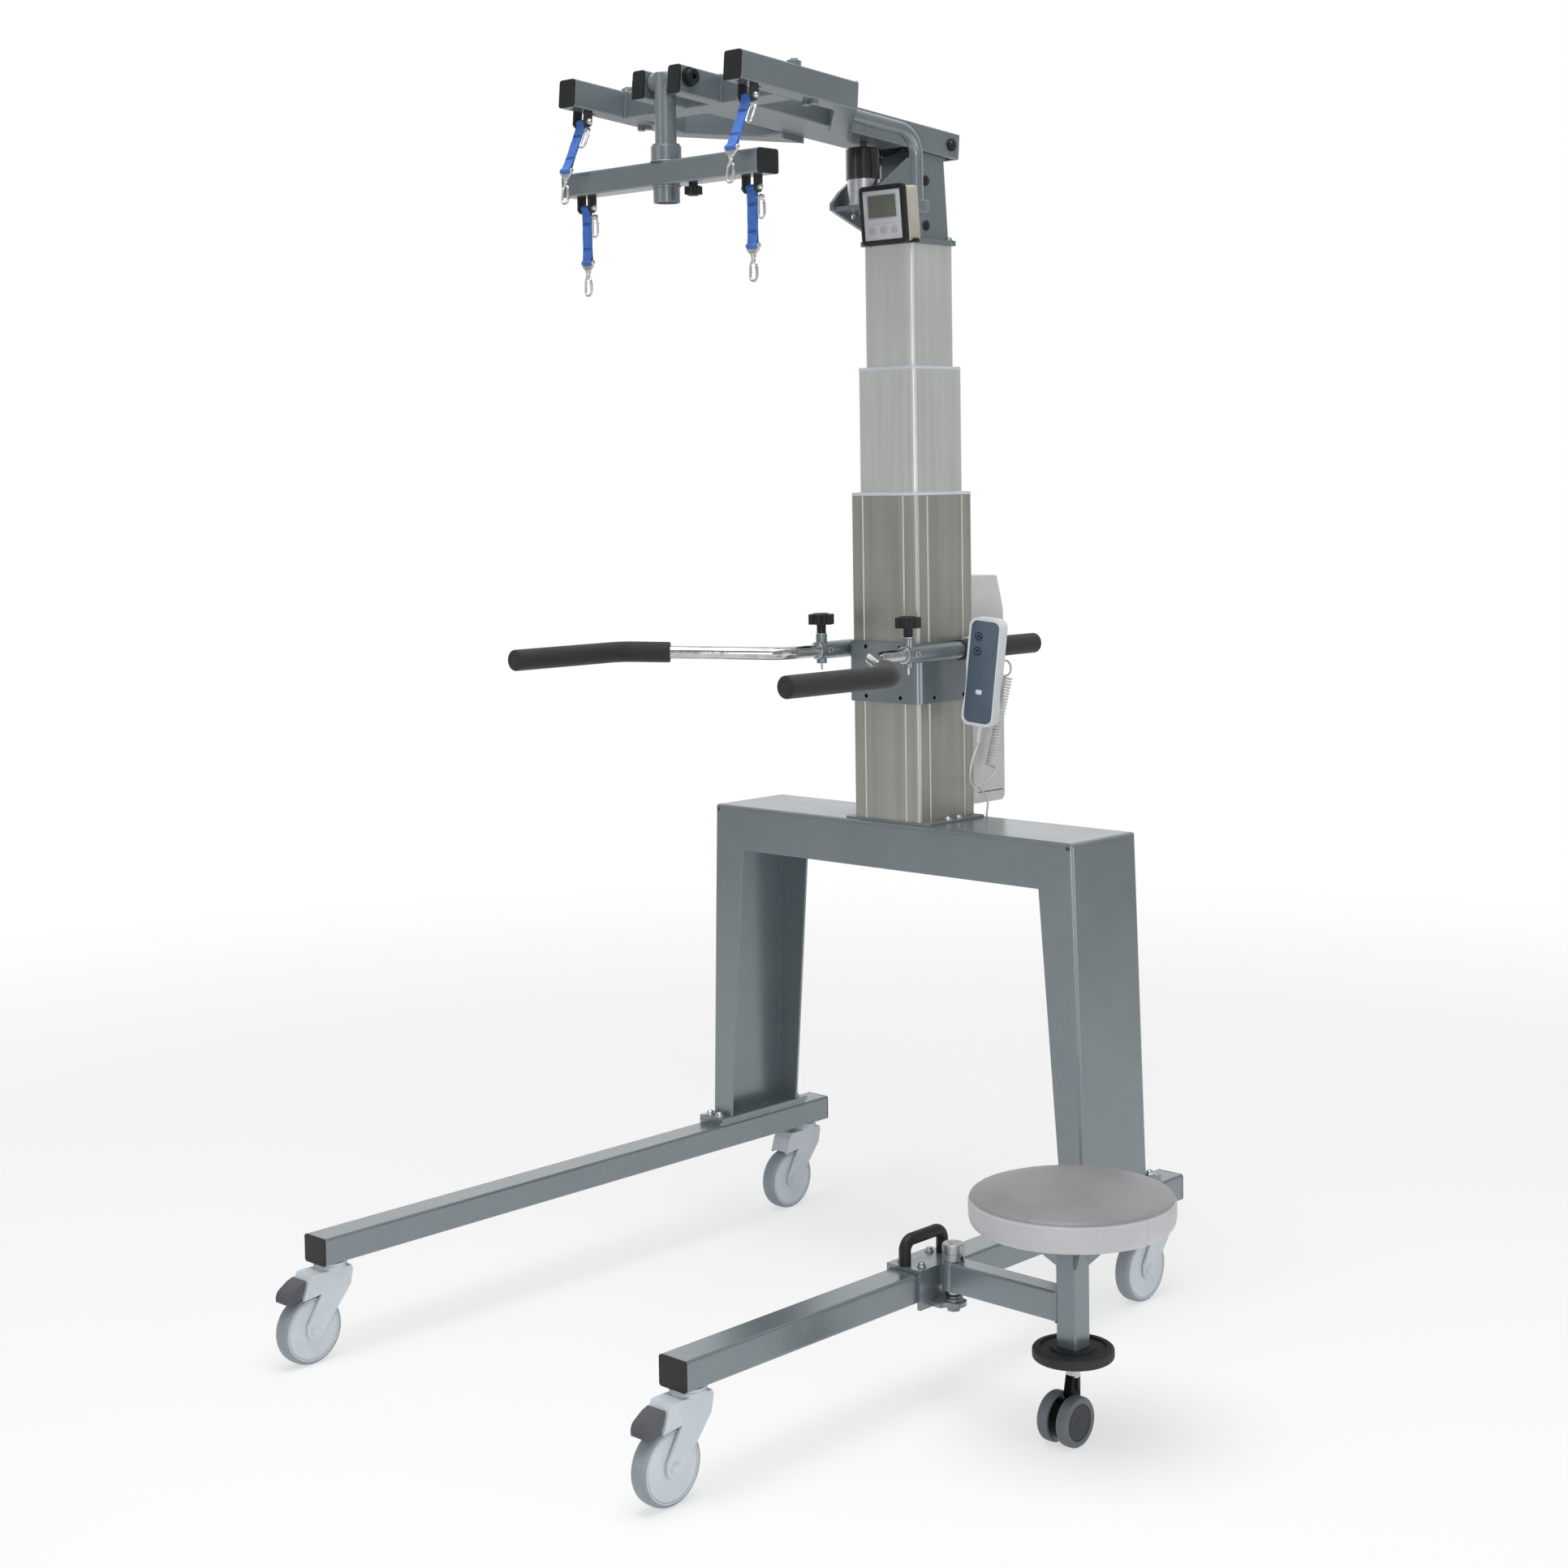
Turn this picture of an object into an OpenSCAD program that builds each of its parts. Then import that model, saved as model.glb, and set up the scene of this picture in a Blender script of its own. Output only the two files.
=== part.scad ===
// Body weight support gantry: a wheeled arch with a telescopic lift column,
// a sprung overhead boom with a spreader and four suspension straps, two
// adjustable handlebars and a swing-out therapist's stool.
// Millimetres, +Z up, +Y from the open ends of the rails towards the arch,
// +X towards the stool. The origin lies on the floor under the middle of the
// overall box.

/* [Side rails] */
// Distance from the middle of the gantry to the middle of each side rail
rail_x = 462; // [440:1:500]
// Width of a rail tube
rail_w = 60; // [50:1:70]
// Height of a rail tube
rail_h = 50; // [40:1:60]
// Wall of a rail tube
rail_wall = 3; // [2:0.5:5]
// Height of the top of the rails above the floor
rail_top = 225; // [215:1:240]
// Length of rail in front of the arch
rail_front = 1020; // [900:5:1200]
// Length of rail from the front of the arch to the back end
rail_back = 298; // [290:1:330]
// Thickness of the flange of a rail's end plug
plug_t = 3; // [2:0.5:6]
// Thickness of the pad that is welded on a rail under each leg
pad_t = 8; // [5:1:12]

/* [Arch] */
// Width of the arch at the top of its beam
arch_w = 920; // [880:1:940]
// Distance by which the foot of a leg stands outside the middle of its rail
foot_out = 20; // [10:1:28]
// Depth of the arch from front to back
arch_d = 200; // [190:1:230]
// Height of the top of the arch
arch_top = 894; // [800:1:1000]
// Height of the front and back plates of the beam
beam_h = 90; // [70:1:120]
// Width of a leg's front plate under the beam
leg_top_w = 80; // [60:1:100]
// Width of a leg's front plate at the foot
leg_foot_w = 54; // [40:1:70]
// Thickness of the folded sheet
sheet = 5; // [3:0.5:8]
// Outside radius of the folds
fold_r = 9; // [6:0.5:14]
// Thickness of the foot flange of a leg
foot_t = 8; // [5:1:12]
// Length of the foot flange along the rail
foot_l = 256; // [240:1:280]
// Diameter of the bolts of the frame
bolt_d = 10; // [8:1:12]

/* [Casters] */
// Diameter of a caster wheel
wheel_d = 125; // [100:1:135]
// Width of a caster wheel
wheel_w = 32; // [26:1:38]
// Distance from the swivel axis to the axle
trail = 50; // [35:1:60]
// Swivel axis of the front casters, in front of the arch
front_caster = 990; // [880:1:1000]
// Swivel axis of the back casters, behind the front of the arch
back_caster = 250; // [245:1:255]
// Diameter of an axle
axle_d = 10; // [8:1:14]
// Wall of a fork beside the wheel
fork_wall = 5; // [4:0.5:7]

/* [Lift column] */
// Side of the outer column stage
col_outer = 170; // [160:1:180]
// Side of the middle column stage
col_mid = 146; // [140:1:150]
// Side of the inner column stage
col_inner = 125; // [120:1:128]
// Wall of the column stages
col_wall = 6; // [4:0.5:7]
// Corner radius of the column stages
col_r = 9; // [6:0.5:14]
// Top of the outer stage
outer_top = 1530; // [1480:1:1600]
// Top of the middle stage as it stands
mid_top = 1773; // [1765:1:1790]
// Top of the inner stage as it stands
inner_top = 2014; // [2010:1:2030]
// Length of the middle stage
mid_len = 480; // [460:1:490]
// Length of the inner stage
inner_len = 454; // [440:1:460]
// Height of the plastic guide ring on a stage
ring_h = 6; // [4:0.5:10]
// Length of a guide ring inside its stage
ring_skirt = 40; // [20:1:60]
// Side of the lift motor
motor_w = 96; // [80:1:100]
// Height of the lift motor with its gearbox
motor_h = 136; // [120:1:140]
// Diameter of the lift spindle
spindle_d = 36; // [30:1:40]
// Top of the lift spindle
spindle_top = 1500; // [1450:1:1510]

/* [Handle collar] */
// Bottom of the collar plates
collar_z = 1128; // [1100:1:1140]
// Height of the collar plates
collar_h = 119; // [110:1:130]
// Thickness of the collar plates
collar_t = 6; // [4:0.5:8]
// Distance from the middle of the gantry to a handle socket
socket_x = 112; // [110:1:120]
// Height of the handle sockets
socket_z = 1229; // [1222:1:1236]
// Outside diameter of a socket tube
socket_d = 34; // [32:1:38]
// Reach of a socket tube in front of the arch
socket_front = 59; // [55:1:80]
// Back end of a socket tube behind the front of the arch
socket_back = 342; // [330:1:380]
// Length of foam on the back of a socket tube
sleeve_len = 236; // [200:1:240]
// Outside diameter of all foam
foam_d = 40; // [38:1:44]

/* [Handlebars] */
// Diameter of the handlebar rod
bar_d = 25; // [22:0.5:28]
// Distance from the middle of the gantry to a grip
grip_x = 346; // [300:1:400]
// Reach of the first bend in front of the arch
bend_one = 151; // [145:1:180]
// Reach of the second bend in front of the arch
bend_two = 360; // [330:1:400]
// Reach of the grip's end in front of the arch
grip_end = 621; // [560:1:700]
// Radius of the bends at the middle of the rod
bend_r = 60; // [50:1:80]
// Length of rod that stays in the socket behind the front of the arch
rod_back = 150; // [120:1:180]
// Length of foam on the slanted part before the second bend
foam_lead = 95; // [60:1:110]
// Tilt of the left grip upwards, about its socket
left_roll = 2; // [-5:0.5:5]
// Tilt of the right grip upwards, about its socket
right_roll = -2; // [-5:0.5:5]
// Diameter of a clamp knob
knob_d = 52; // [40:1:60]
// Height of a clamp knob
knob_h = 20; // [14:1:26]
// Diameter of a clamp screw
screw_d = 10; // [8:1:12]

/* [Head bracket] */
// Side of the base plate on the inner stage
base_w = 134; // [130:1:142]
// Thickness of the base plate
base_t = 10; // [8:1:12]
// Thickness of the side plates and the shelf
plate_t = 8; // [6:1:9]
// Clear width between the side plates
plate_gap = 84; // [80:1:86]
// Height of the boom pivot above the inner stage
pivot_up = 196; // [190:1:210]
// Distance of the boom pivot behind the front of the arch
pivot_y = 161; // [155:1:170]
// Diameter of the boom pivot pin
pivot_d = 20; // [16:1:24]
// Height of the shelf's top above the inner stage
shelf_up = 69; // [60:1:75]
// Distance of the spring unit in front of the arch
spring_front = 28; // [20:1:32]
// Outside diameter of the black spring sleeve
spring_d = 68; // [60:1:72]
// Diameter of the spring body
spring_body_d = 62; // [56:0.5:63]
// Height of the spring body that shows under the sleeve
spring_show = 50; // [45:1:55]
// Height of the spring sleeve
sleeve_h = 60; // [55:1:64]

/* [Boom and spreader] */
// Tilt of the unloaded boom
boom_tilt = 4.85; // [3:0.05:6]
// Width of the boom tube
boom_w = 120; // [118:1:130]
// Height of the boom tube
boom_h = 50; // [46:1:60]
// Wall of the boom and spreader tubes
boom_wall = 5; // [3:0.5:5]
// Length of the boom behind the pivot
boom_tail = 25; // [22:1:40]
// Distance from the pivot to the back of the cross member
boom_reach = 581; // [540:1:620]
// Width of the spreader tubes
tube_w = 40; // [36:1:46]
// Height of the spreader tubes
tube_h = 50; // [44:1:56]
// Drop of the spreader tubes below the middle of the boom
tube_drop = 10; // [0:1:15]
// Depth of the cross member
cross_d = 50; // [40:1:60]
// Distance from the middle of the gantry to a spreader arm
arm_x = 210; // [200:1:240]
// Length of a spreader arm in front of the cross member
arm_front = 122; // [110:1:140]
// Length of a spreader arm behind the cross member
arm_back = 121; // [110:1:140]
// Length of the clevis tubes in front of the cross member
clevis_l = 100; // [95:1:110]
// Width of a clevis tube
clevis_w = 30; // [25:1:32]
// Clear width between the clevis tubes
clevis_gap = 60; // [56:1:70]
// Distance of the clevis bolt from the cross member
clevis_bolt_l = 81; // [76:1:84]
// Diameter of the clevis bolt
clevis_d = 16; // [12:1:18]

/* [Hanger and lift bar] */
// Diameter of the hanger tube
hanger_d = 38; // [34:1:42]
// Length of the hanger tube below the clevis bolt
hanger_l = 198; // [190:1:206]
// Length of the lift bar
bar_l = 492; // [470:1:540]
// Depth of the lift bar tube
bar_w = 50; // [46:1:54]
// Height of the lift bar tube
bar_h = 42; // [38:1:50]
// Distance from the clevis bolt down to the top of the lift bar
bar_drop = 141; // [138:1:150]
// Diameter of the swivel collar on the lift bar
swivel_d = 54; // [50:1:60]
// Height of the swivel collar
swivel_h = 31; // [25:1:40]
// Diameter of the swivel stub under the lift bar
stub_d = 47; // [46:1:50]
// Height of the swivel stub
stub_h = 29; // [25:1:35]
// Distance of the lock knob from the hanger
lock_x = 67; // [55:1:90]

/* [Straps and hooks] */
// Width of the webbing
web_w = 22; // [18:1:26]
// Thickness of the folded webbing
web_t = 4; // [3:0.5:5]
// Length of a strap between the centres of its pins
strap_l = 98; // [90:1:110]
// Diameter of the strap pins
pin_d = 7; // [5:0.5:8]
// Drop of a strap pin below the tube that carries it
pin_drop = 21; // [16:1:24]
// Length of a snap hook below its pin
hook_l = 62; // [56:1:70]
// Width of a snap hook
hook_w = 20; // [18:1:24]
// Diameter of a snap hook's wire
wire_d = 5; // [4:0.5:6]
// Lean of the upper straps away from the lift bar
upper_lean = 24.5; // [22:0.5:30]
// Lean of the hooks on the upper straps
hook_lean = 5; // [0:0.5:8]

/* [Display] */
// Width of the display
disp_w = 111; // [90:1:120]
// Height of the display
disp_h = 110; // [90:1:120]
// Depth of the display
disp_d = 46; // [40:1:50]
// Downward tilt of the display
disp_tilt = 5; // [0:1:12]
// Diameter of the display tube
disp_tube_d = 25; // [20:1:28]
// Distance from the middle of the gantry to the display tube
disp_tube_x = 144; // [138:1:150]
// Distance of the display tube in front of the arch
disp_tube_front = 42; // [36:1:50]
// Radius of the display tube's bend
disp_bend = 50; // [40:1:60]
// Height of the middle of the display above the inner stage
disp_up = 41; // [35:1:50]

/* [Handset and control box] */
// Width of the control box
box_w = 110; // [90:1:120]
// Depth of the control box
box_d = 130; // [100:1:133]
// Bottom of the control box
box_z = 912; // [906:1:920]
// Height of the control box
box_h = 454; // [400:1:460]
// Width of the handset
set_w = 68; // [56:1:72]
// Depth of the handset
set_d = 28; // [22:1:30]
// Height of the handset
set_h = 210; // [190:1:220]
// Turn of the handset on its rest
set_turn = 13; // [10:1:16]
// Sideways lean of the handset
set_lean = 6.5; // [4:0.5:8]
// Height of the handset's middle above the socket tube, negative below
set_up = -41; // [-48:1:-38]
// Place of the handset's hook behind the front of the arch
set_y = 139; // [136:1:150]
// Diameter of a handset key
key_d = 15; // [12:0.5:17]
// Diameter of the handset cord
cord_d = 4; // [3:0.5:5]
// Diameter of the curls at the middle of the cord
curl_d = 15; // [13:0.5:18]
// Number of curls
curls = 30; // [20:1:32]

/* [Stool] */
// Distance of the stool's carriage in front of the arch
stool_front = 424; // [400:1:440]
// Length of the carriage on the rail
carriage_l = 116; // [100:1:130]
// Thickness of the carriage plates
carriage_t = 7; // [5:1:8]
// Distance from the rail to the stool's hinge pin
hinge_off = 32; // [31:1:40]
// Diameter of the hinge pin
hinge_d = 16; // [12:1:18]
// Length of the arm from the hinge pin to the post
arm_l = 251; // [240:1:280]
// Height of the arm tube
arm_h = 50; // [44:1:54]
// Width of the arm and post tubes
post_w = 40; // [36:1:42]
// Bottom of the arm tube
arm_z = 194; // [192:1:198]
// Diameter of the seat
seat_d = 342; // [320:1:360]
// Bottom of the seat cushion
seat_z = 346; // [340:1:380]
// Thickness of the seat cushion at its edge
seat_t = 58; // [50:1:70]
// Crown of the seat cushion above its edge
seat_crown = 7; // [4:0.5:12]
// Diameter of the bumper disc
disc_d = 134; // [110:1:150]
// Thickness of the bumper disc
disc_t = 20; // [14:1:24]
// Bottom of the bumper disc
disc_z = 135; // [130:1:140]
// Diameter of the stool's twin wheels
twin_d = 82; // [70:1:84]
// Width of one twin wheel
twin_w = 22; // [18:1:24]
// Gap between the twin wheels
twin_gap = 16; // [14:1:18]
// Distance from the stool caster's stem to its axle
twin_trail = 22; // [18:1:26]
// Reach of the grab handle above the carriage
grab_h = 52; // [45:1:60]
// Diameter of the grab handle's bar
grab_d = 21; // [16:1:22]

/* [Hidden] */
$fn = 48;
// Clearance between parts that only pass each other
gap = 0.3;
// Radial clearance of a running fit
run = 0.05;
// Small overlap that joins welded solids
weld = 0.5;
// Length by which a cut runs past the faces that it opens
past = 1;
// Mitred walls of the arch
leg_z = rail_top + pad_t + foot_t;
arch_foot_w = 2 * (rail_x + foot_out);
flare = (arch_foot_w - arch_w) / 2;
flare_at_beam = flare * beam_h / (arch_top - leg_z);
leg_in_top = arch_w / 2 + flare_at_beam - leg_top_w;
leg_in_foot = arch_foot_w / 2 - leg_foot_w;
flare_a = atan(flare / (arch_top - leg_z));
// Middle of the arch and of the column
col_y = arch_d / 2;
// Pivot, boom and hanger
pivot_z = inner_top + pivot_up;
boom_in = boom_w / 2 - boom_wall;
tube_z = -tube_drop;
cross_y = -boom_reach - cross_d;
arm_y = cross_y - arm_front;
arm_len = arm_front + cross_d + arm_back;
bolt_y = cross_y - clevis_bolt_l;
clevis_x = (clevis_gap + clevis_w) / 2;
// Pins of the straps: the upper pair hangs from the arms, the lower from the bar
lug_y = arm_y + 38;
upper_y = pivot_y + lug_y * cos(boom_tilt) + (tube_z - tube_h / 2 - pin_drop) * sin(boom_tilt);
upper_z = pivot_z - lug_y * sin(boom_tilt) + (tube_z - tube_h / 2 - pin_drop) * cos(boom_tilt);
lug_t = 4;
lug_w = web_w + 2 * lug_t + 2;
// Stool places
hinge_x = rail_x + rail_w / 2 + hinge_off;
stool_x = hinge_x + arm_l;
stool_y = -stool_front;
// Overall box and the origin under its middle
x_low = -(rail_x + rail_w / 2);
x_high = stool_x + seat_d / 2;
y_low = -(front_caster + trail + wheel_d / 2);
y_high = socket_back;
mid = [(x_low + x_high) / 2, (y_low + y_high) / 2];
// Colours of the finishes
paint = "#7f888c";
alloy = "#b9b5ab";
black = "#1c1d1f";
foam = "#2a2b2c";
chrome = "#d4d7da";
blue = "#2f66c8";
pale = "#c3cbd0";
tread = "#828c94";
vinyl = "#a3a1a4";

// Moves the gantry, drawn about its own middle plane, to the origin
module gantry() { translate([-mid[0], -mid[1], 0]) children(); }
// Repeats a shape on both sides of the middle plane
module both_sides() { children(); mirror([1, 0, 0]) children(); }
// Square with round corners
module round_square(w, h, r) {
    square([w - 2 * r, h], center = true);
    square([w, h - 2 * r], center = true);
    for (x = [-1, 1], y = [-1, 1])
        translate([x * (w / 2 - r), y * (h / 2 - r)]) circle(r);
}
// Rectangular tube outline
module tube_outline(w, h, wall, r) {
    difference() {
        round_square(w, h, r);
        round_square(w - 2 * wall, h - 2 * wall, max(r - wall, 0.5));
    }
}
// Cylinder along X, centred
module along_x(d, l) { rotate([0, 90, 0]) cylinder(d = d, h = l, center = true); }
// Cylinder along Y from y = 0
module along_y(d, l) { rotate([-90, 0, 0]) cylinder(d = d, h = l); }
// Rod between two places in the XY plane
module rod(d, a, b) {
    v = b - a;
    translate([a[0], a[1], 0]) rotate([0, 0, atan2(v[1], v[0]) - 90]) along_y(d, norm(v));
}
// Domed bolt head with its washer, standing on z = 0
module dome_bolt(d) {
    cylinder(d = 2.2 * d, h = 2);
    rotate_extrude() intersection() {
        translate([0, 2]) circle(0.85 * d);
        translate([0, 2]) square([d, d]);
    }
}

// Side rails with the caster bushes and the pads under the legs
stem_d = 16;
rail_low = rail_top - rail_h;
bush_h = 30;
bolt_off = 14;
module rail() {
    difference() {
        union() {
            translate([rail_x, -rail_front, rail_top - rail_h / 2]) rotate([-90, 0, 0])
                linear_extrude(rail_front + rail_back) tube_outline(rail_w, rail_h, rail_wall, 5);
            for (y = [-front_caster, back_caster]) translate([rail_x, y, rail_low])
                cylinder(d = stem_d + 12, h = bush_h);
            translate([rail_x - rail_w / 2, col_y - foot_l / 2, rail_top - weld])
                cube([rail_w, foot_l, pad_t + weld]);
        }
        for (y = [-front_caster, back_caster]) translate([rail_x, y, rail_low - past])
            cylinder(d = stem_d + 2 * run, h = bush_h + 2 * past);
        foot_bolt_places() bolt_hole();
    }
}
module side_rails() { color(paint) gantry() both_sides() rail(); }
bolt_deep = foot_t + pad_t + rail_wall + past;
module bolt_hole() { translate([0, 0, -bolt_deep]) cylinder(d = bolt_d + 2 * gap, h = bolt_deep + past); }
module foot_bolt_places() {
    for (x = [-bolt_off, bolt_off], y = [-1, 1])
        translate([rail_x + x, col_y + y * (foot_l / 2 - bolt_off), leg_z]) children();
}
// Push-in plugs in the four rail ends
module end_plug(w, h, wall, deep) {
    linear_extrude(plug_t) round_square(w, h, 5);
    translate([0, 0, -deep]) linear_extrude(deep + weld)
        tube_outline(w - 2 * wall - 0.4, h - 2 * wall - 0.4, 2.5, 3);
}
plug_deep = rail_front - front_caster - stem_d / 2 - 6 - 2;
module rail_plugs() {
    color(black) gantry() both_sides() {
        translate([rail_x, -rail_front, rail_top - rail_h / 2]) rotate([90, 0, 0])
            end_plug(rail_w, rail_h, rail_wall, plug_deep);
        translate([rail_x, rail_back, rail_top - rail_h / 2]) rotate([-90, 0, 0])
            end_plug(rail_w, rail_h, rail_wall, plug_deep);
    }
}

// Arch of folded sheet, open underneath and on the inner side of its legs
module corner_cut(r) {
    difference() {
        translate([-past, -past]) square(r + past);
        translate([r, r]) circle(r);
    }
}
module arch_outline(t) {
    polygon([[-arch_foot_w / 2 + t, leg_z], [-arch_w / 2 + t, arch_top - t],
        [arch_w / 2 - t, arch_top - t], [arch_foot_w / 2 - t, leg_z]]);
}
base_bolt = [98, 16];
base_bolt_d = 7;
module arch() {
    color(paint) gantry() difference() {
        union() {
            difference() {
                translate([0, arch_d, 0]) rotate([90, 0, 0]) linear_extrude(arch_d) difference() {
                    arch_outline(0);
                    polygon([[-leg_in_foot, leg_z], [-leg_in_top, arch_top - beam_h],
                        [leg_in_top, arch_top - beam_h], [leg_in_foot, leg_z]]);
                }
                translate([0, arch_d - sheet, 0]) rotate([90, 0, 0])
                    linear_extrude(arch_d - 2 * sheet) arch_outline(sheet);
                for (y = [0, 1]) translate([0, y * arch_d, arch_top]) mirror([0, y, 0])
                    translate([-arch_w / 2 - past, 0, 0]) rotate([90, 0, 90])
                    linear_extrude(arch_w + 2 * past) mirror([0, 1]) corner_cut(fold_r);
                both_sides() {
                    for (y = [0, 1]) translate([arch_foot_w / 2, y * arch_d, leg_z]) mirror([0, y, 0])
                        rotate([0, -flare_a, 0]) translate([0, 0, -past])
                        linear_extrude(arch_top - leg_z + 4 * past) mirror([1, 0]) corner_cut(fold_r);
                    translate([arch_w / 2, arch_d + past, arch_top]) rotate([90, 0, 0])
                        linear_extrude(arch_d + 2 * past) mirror([1, 0]) mirror([0, 1]) corner_cut(fold_r);
                    translate([arch_w / 2 - fold_r, -past, arch_top - fold_r]) along_y(9, 20);
                }
            }
            both_sides() translate([leg_in_foot - 2, col_y - foot_l / 2, leg_z - foot_t])
                cube([rail_x + rail_w / 2 - leg_in_foot + 2, foot_l, foot_t]);
        }
        both_sides() foot_bolt_places() bolt_hole();
        for (x = [-1, 1], y = [-1, 1]) translate([x * base_bolt[0], col_y + y * base_bolt[1], arch_top - sheet - past])
            cylinder(d = base_bolt_d + 2 * gap, h = sheet + 2 * past);
        translate([lead_grommet[0], lead_grommet[1], arch_top - sheet - past])
            cylinder(d = cord_d + 2 * gap, h = sheet + 2 * past);
    }
}
// Bolts of the feet, of the column base and of the handle collar
flange_t = 4;
collar_out = col_outer / 2 + gap + collar_t;
collar_screw = [44, 11];
collar_screw_d = 8;
// Places of the collar's flush screws, on its face with +Z into the column
module collar_screw_places() {
    translate([0, col_y, collar_z]) for (a = [0, 90, -90], x = [-1, 1],
        z = a == 0 ? [collar_screw[1], collar_h - collar_screw[1]] : [collar_screw[1]])
        rotate([0, 0, a]) translate([x * collar_screw[0], -collar_out, z]) rotate([-90, 0, 0]) children();
}
module collar_screw_hole() {
    translate([0, 0, -past]) cylinder(d = collar_screw_d + 2 * gap, h = collar_t + gap + col_wall + 2 * past);
}
module frame_bolts() {
    color(chrome) gantry() {
        both_sides() foot_bolt_places() {
            dome_bolt(bolt_d);
            translate([0, 0, -foot_t - pad_t - rail_wall - 4]) cylinder(d = bolt_d, h = foot_t + pad_t + rail_wall + 5);
        }
        for (x = [-1, 1], y = [-1, 1])
            translate([x * base_bolt[0], col_y + y * base_bolt[1], arch_top + flange_t]) {
                dome_bolt(base_bolt_d);
                translate([0, 0, -flange_t - sheet - 4]) cylinder(d = base_bolt_d, h = flange_t + sheet + 5);
            }
        collar_screw_places() translate([0, 0, 1]) difference() {
            cylinder(d = collar_screw_d, h = collar_t + gap + 3);
            translate([0, 0, -past]) cylinder(d = collar_screw_d / 2, h = 3 + past, $fn = 6);
        }
    }
}

// Rail casters: moulded fork on a swivel ring, drawn about the swivel axis
fork_w = wheel_w + 3 + 2 * fork_wall;
ring_d = 57;
fork_top = rail_low - gap;
hinge_y = -80;
pedal_z = 130;
pedal_pin = 4;
pedal_lug = 12;
pedal_w = 40;
axle_z = wheel_d / 2;
module fork_outline() {
    polygon([[30, fork_top - 11], [33, 156], [28, 130], [-trail + 13.5, axle_z - 10], [-trail - 16, axle_z - 5],
        [-trail - 16.5, axle_z + 10], [-35, 126], [-74, 121.5], [-64, 151], [-56, fork_top - 11]]);
    translate([-trail, axle_z]) circle(17);
}
module fork(brake) {
    difference() {
        union() {
            rotate([90, 0, 90]) linear_extrude(fork_w, center = true) fork_outline();
            translate([0, 0, fork_top - 14]) cylinder(d = ring_d, h = 14);
        }
        translate([0, -trail, axle_z]) along_x(wheel_d + 8, wheel_w + 3);
    }
    if (brake) rotate([90, 0, 90]) linear_extrude(pedal_lug, center = true) {
        translate([hinge_y, pedal_z]) circle(5);
        polygon([[hinge_y, pedal_z - 5], [hinge_y, pedal_z + 5], [-66, 149], [-66, 134.5]]);
    }
    translate([0, 0, fork_top - past]) cylinder(d = stem_d, h = bush_h + past);
    translate([0, 0, fork_top - 6]) rotate_extrude() translate([ring_d / 2, 0]) circle(1.6);
    translate([0, -trail, axle_z]) {
        along_x(axle_d, fork_w);
        along_x(20, fork_w + 4);
        along_x(13, fork_w + 6);
    }
    if (brake) translate([0, hinge_y, pedal_z]) along_x(pedal_pin, 36);
}
module fork_body(brake) {
    difference() {
        fork(brake);
        translate([0, -trail, axle_z]) difference() {
            along_x(30, wheel_w + 3);
            along_x(axle_d, wheel_w + 5);
        }
    }
}
module fork_fl() { color(pale) gantry() translate([-rail_x, -front_caster, 0]) fork_body(true); }
module fork_fr() { color(pale) gantry() translate([rail_x, -front_caster, 0]) fork_body(true); }
module fork_rl() { color(pale) gantry() translate([-rail_x, back_caster, 0]) fork_body(false); }
module fork_rr() { color(pale) gantry() translate([rail_x, back_caster, 0]) fork_body(false); }
// Wheel: crowned tyre on a dished disc
module wheel_shape(d, w, bore) {
    r = d / 2;
    h = w / 2;
    rotate([0, 90, 0]) rotate_extrude() difference() {
        union() {
            translate([bore / 2, -h + 3]) square([r - 8 - bore / 2, w - 6]);
            translate([bore / 2, -h]) square([7, w]);
            difference() {
                translate([r - 22, -h + 1]) square([14, w - 2]);
                for (s = [-1, 1]) translate([r - 30, s * (h + 8)]) circle(14);
            }
            translate([r - 14, -h]) square([8, w]);
            translate([r - 6, -h + 6]) square([6, w - 12]);
            for (s = [-1, 1]) translate([r - 6, s * (h - 6)]) circle(6);
        }
    }
}
module wheel_at(x, y) {
    color(tread) gantry() translate([x, y - trail, axle_z]) wheel_shape(wheel_d, wheel_w, axle_d + 2 * run);
}
module wheel_fl() { wheel_at(-rail_x, -front_caster); }
module wheel_fr() { wheel_at(rail_x, -front_caster); }
module wheel_rl() { wheel_at(-rail_x, back_caster); }
module wheel_rr() { wheel_at(rail_x, back_caster); }
// Brake pedals of the front casters
module pedal_at(x) {
    color("#4a4f54") gantry() translate([x, -front_caster, 0]) difference() {
        union() {
            rotate([90, 0, 90]) linear_extrude(pedal_w, center = true) polygon([[-66.5, 157], [-80, 151.5], [-98, 139],
                [-108, 129], [-110.5, 125.5], [-109, 122.5], [-103, 121], [-86, 122], [-77, 126], [-67.5, 151]]);
        }
        translate([-pedal_lug / 2 - gap, hinge_y - 5 - gap, 100]) cube([pedal_lug + 2 * gap, 40, 80]);
        for (s = [-1, 1]) translate([0, 0, 100]) linear_extrude(80)
            polygon([[s * 12, -112], [s * (pedal_w / 2 + past), -112], [s * (pedal_w / 2 + past), -96]]);
        translate([0, hinge_y, pedal_z]) along_x(pedal_pin + 2 * run, 60);
    }
}
module pedal_fl() { pedal_at(-rail_x); }
module pedal_fr() { pedal_at(rail_x); }

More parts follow.
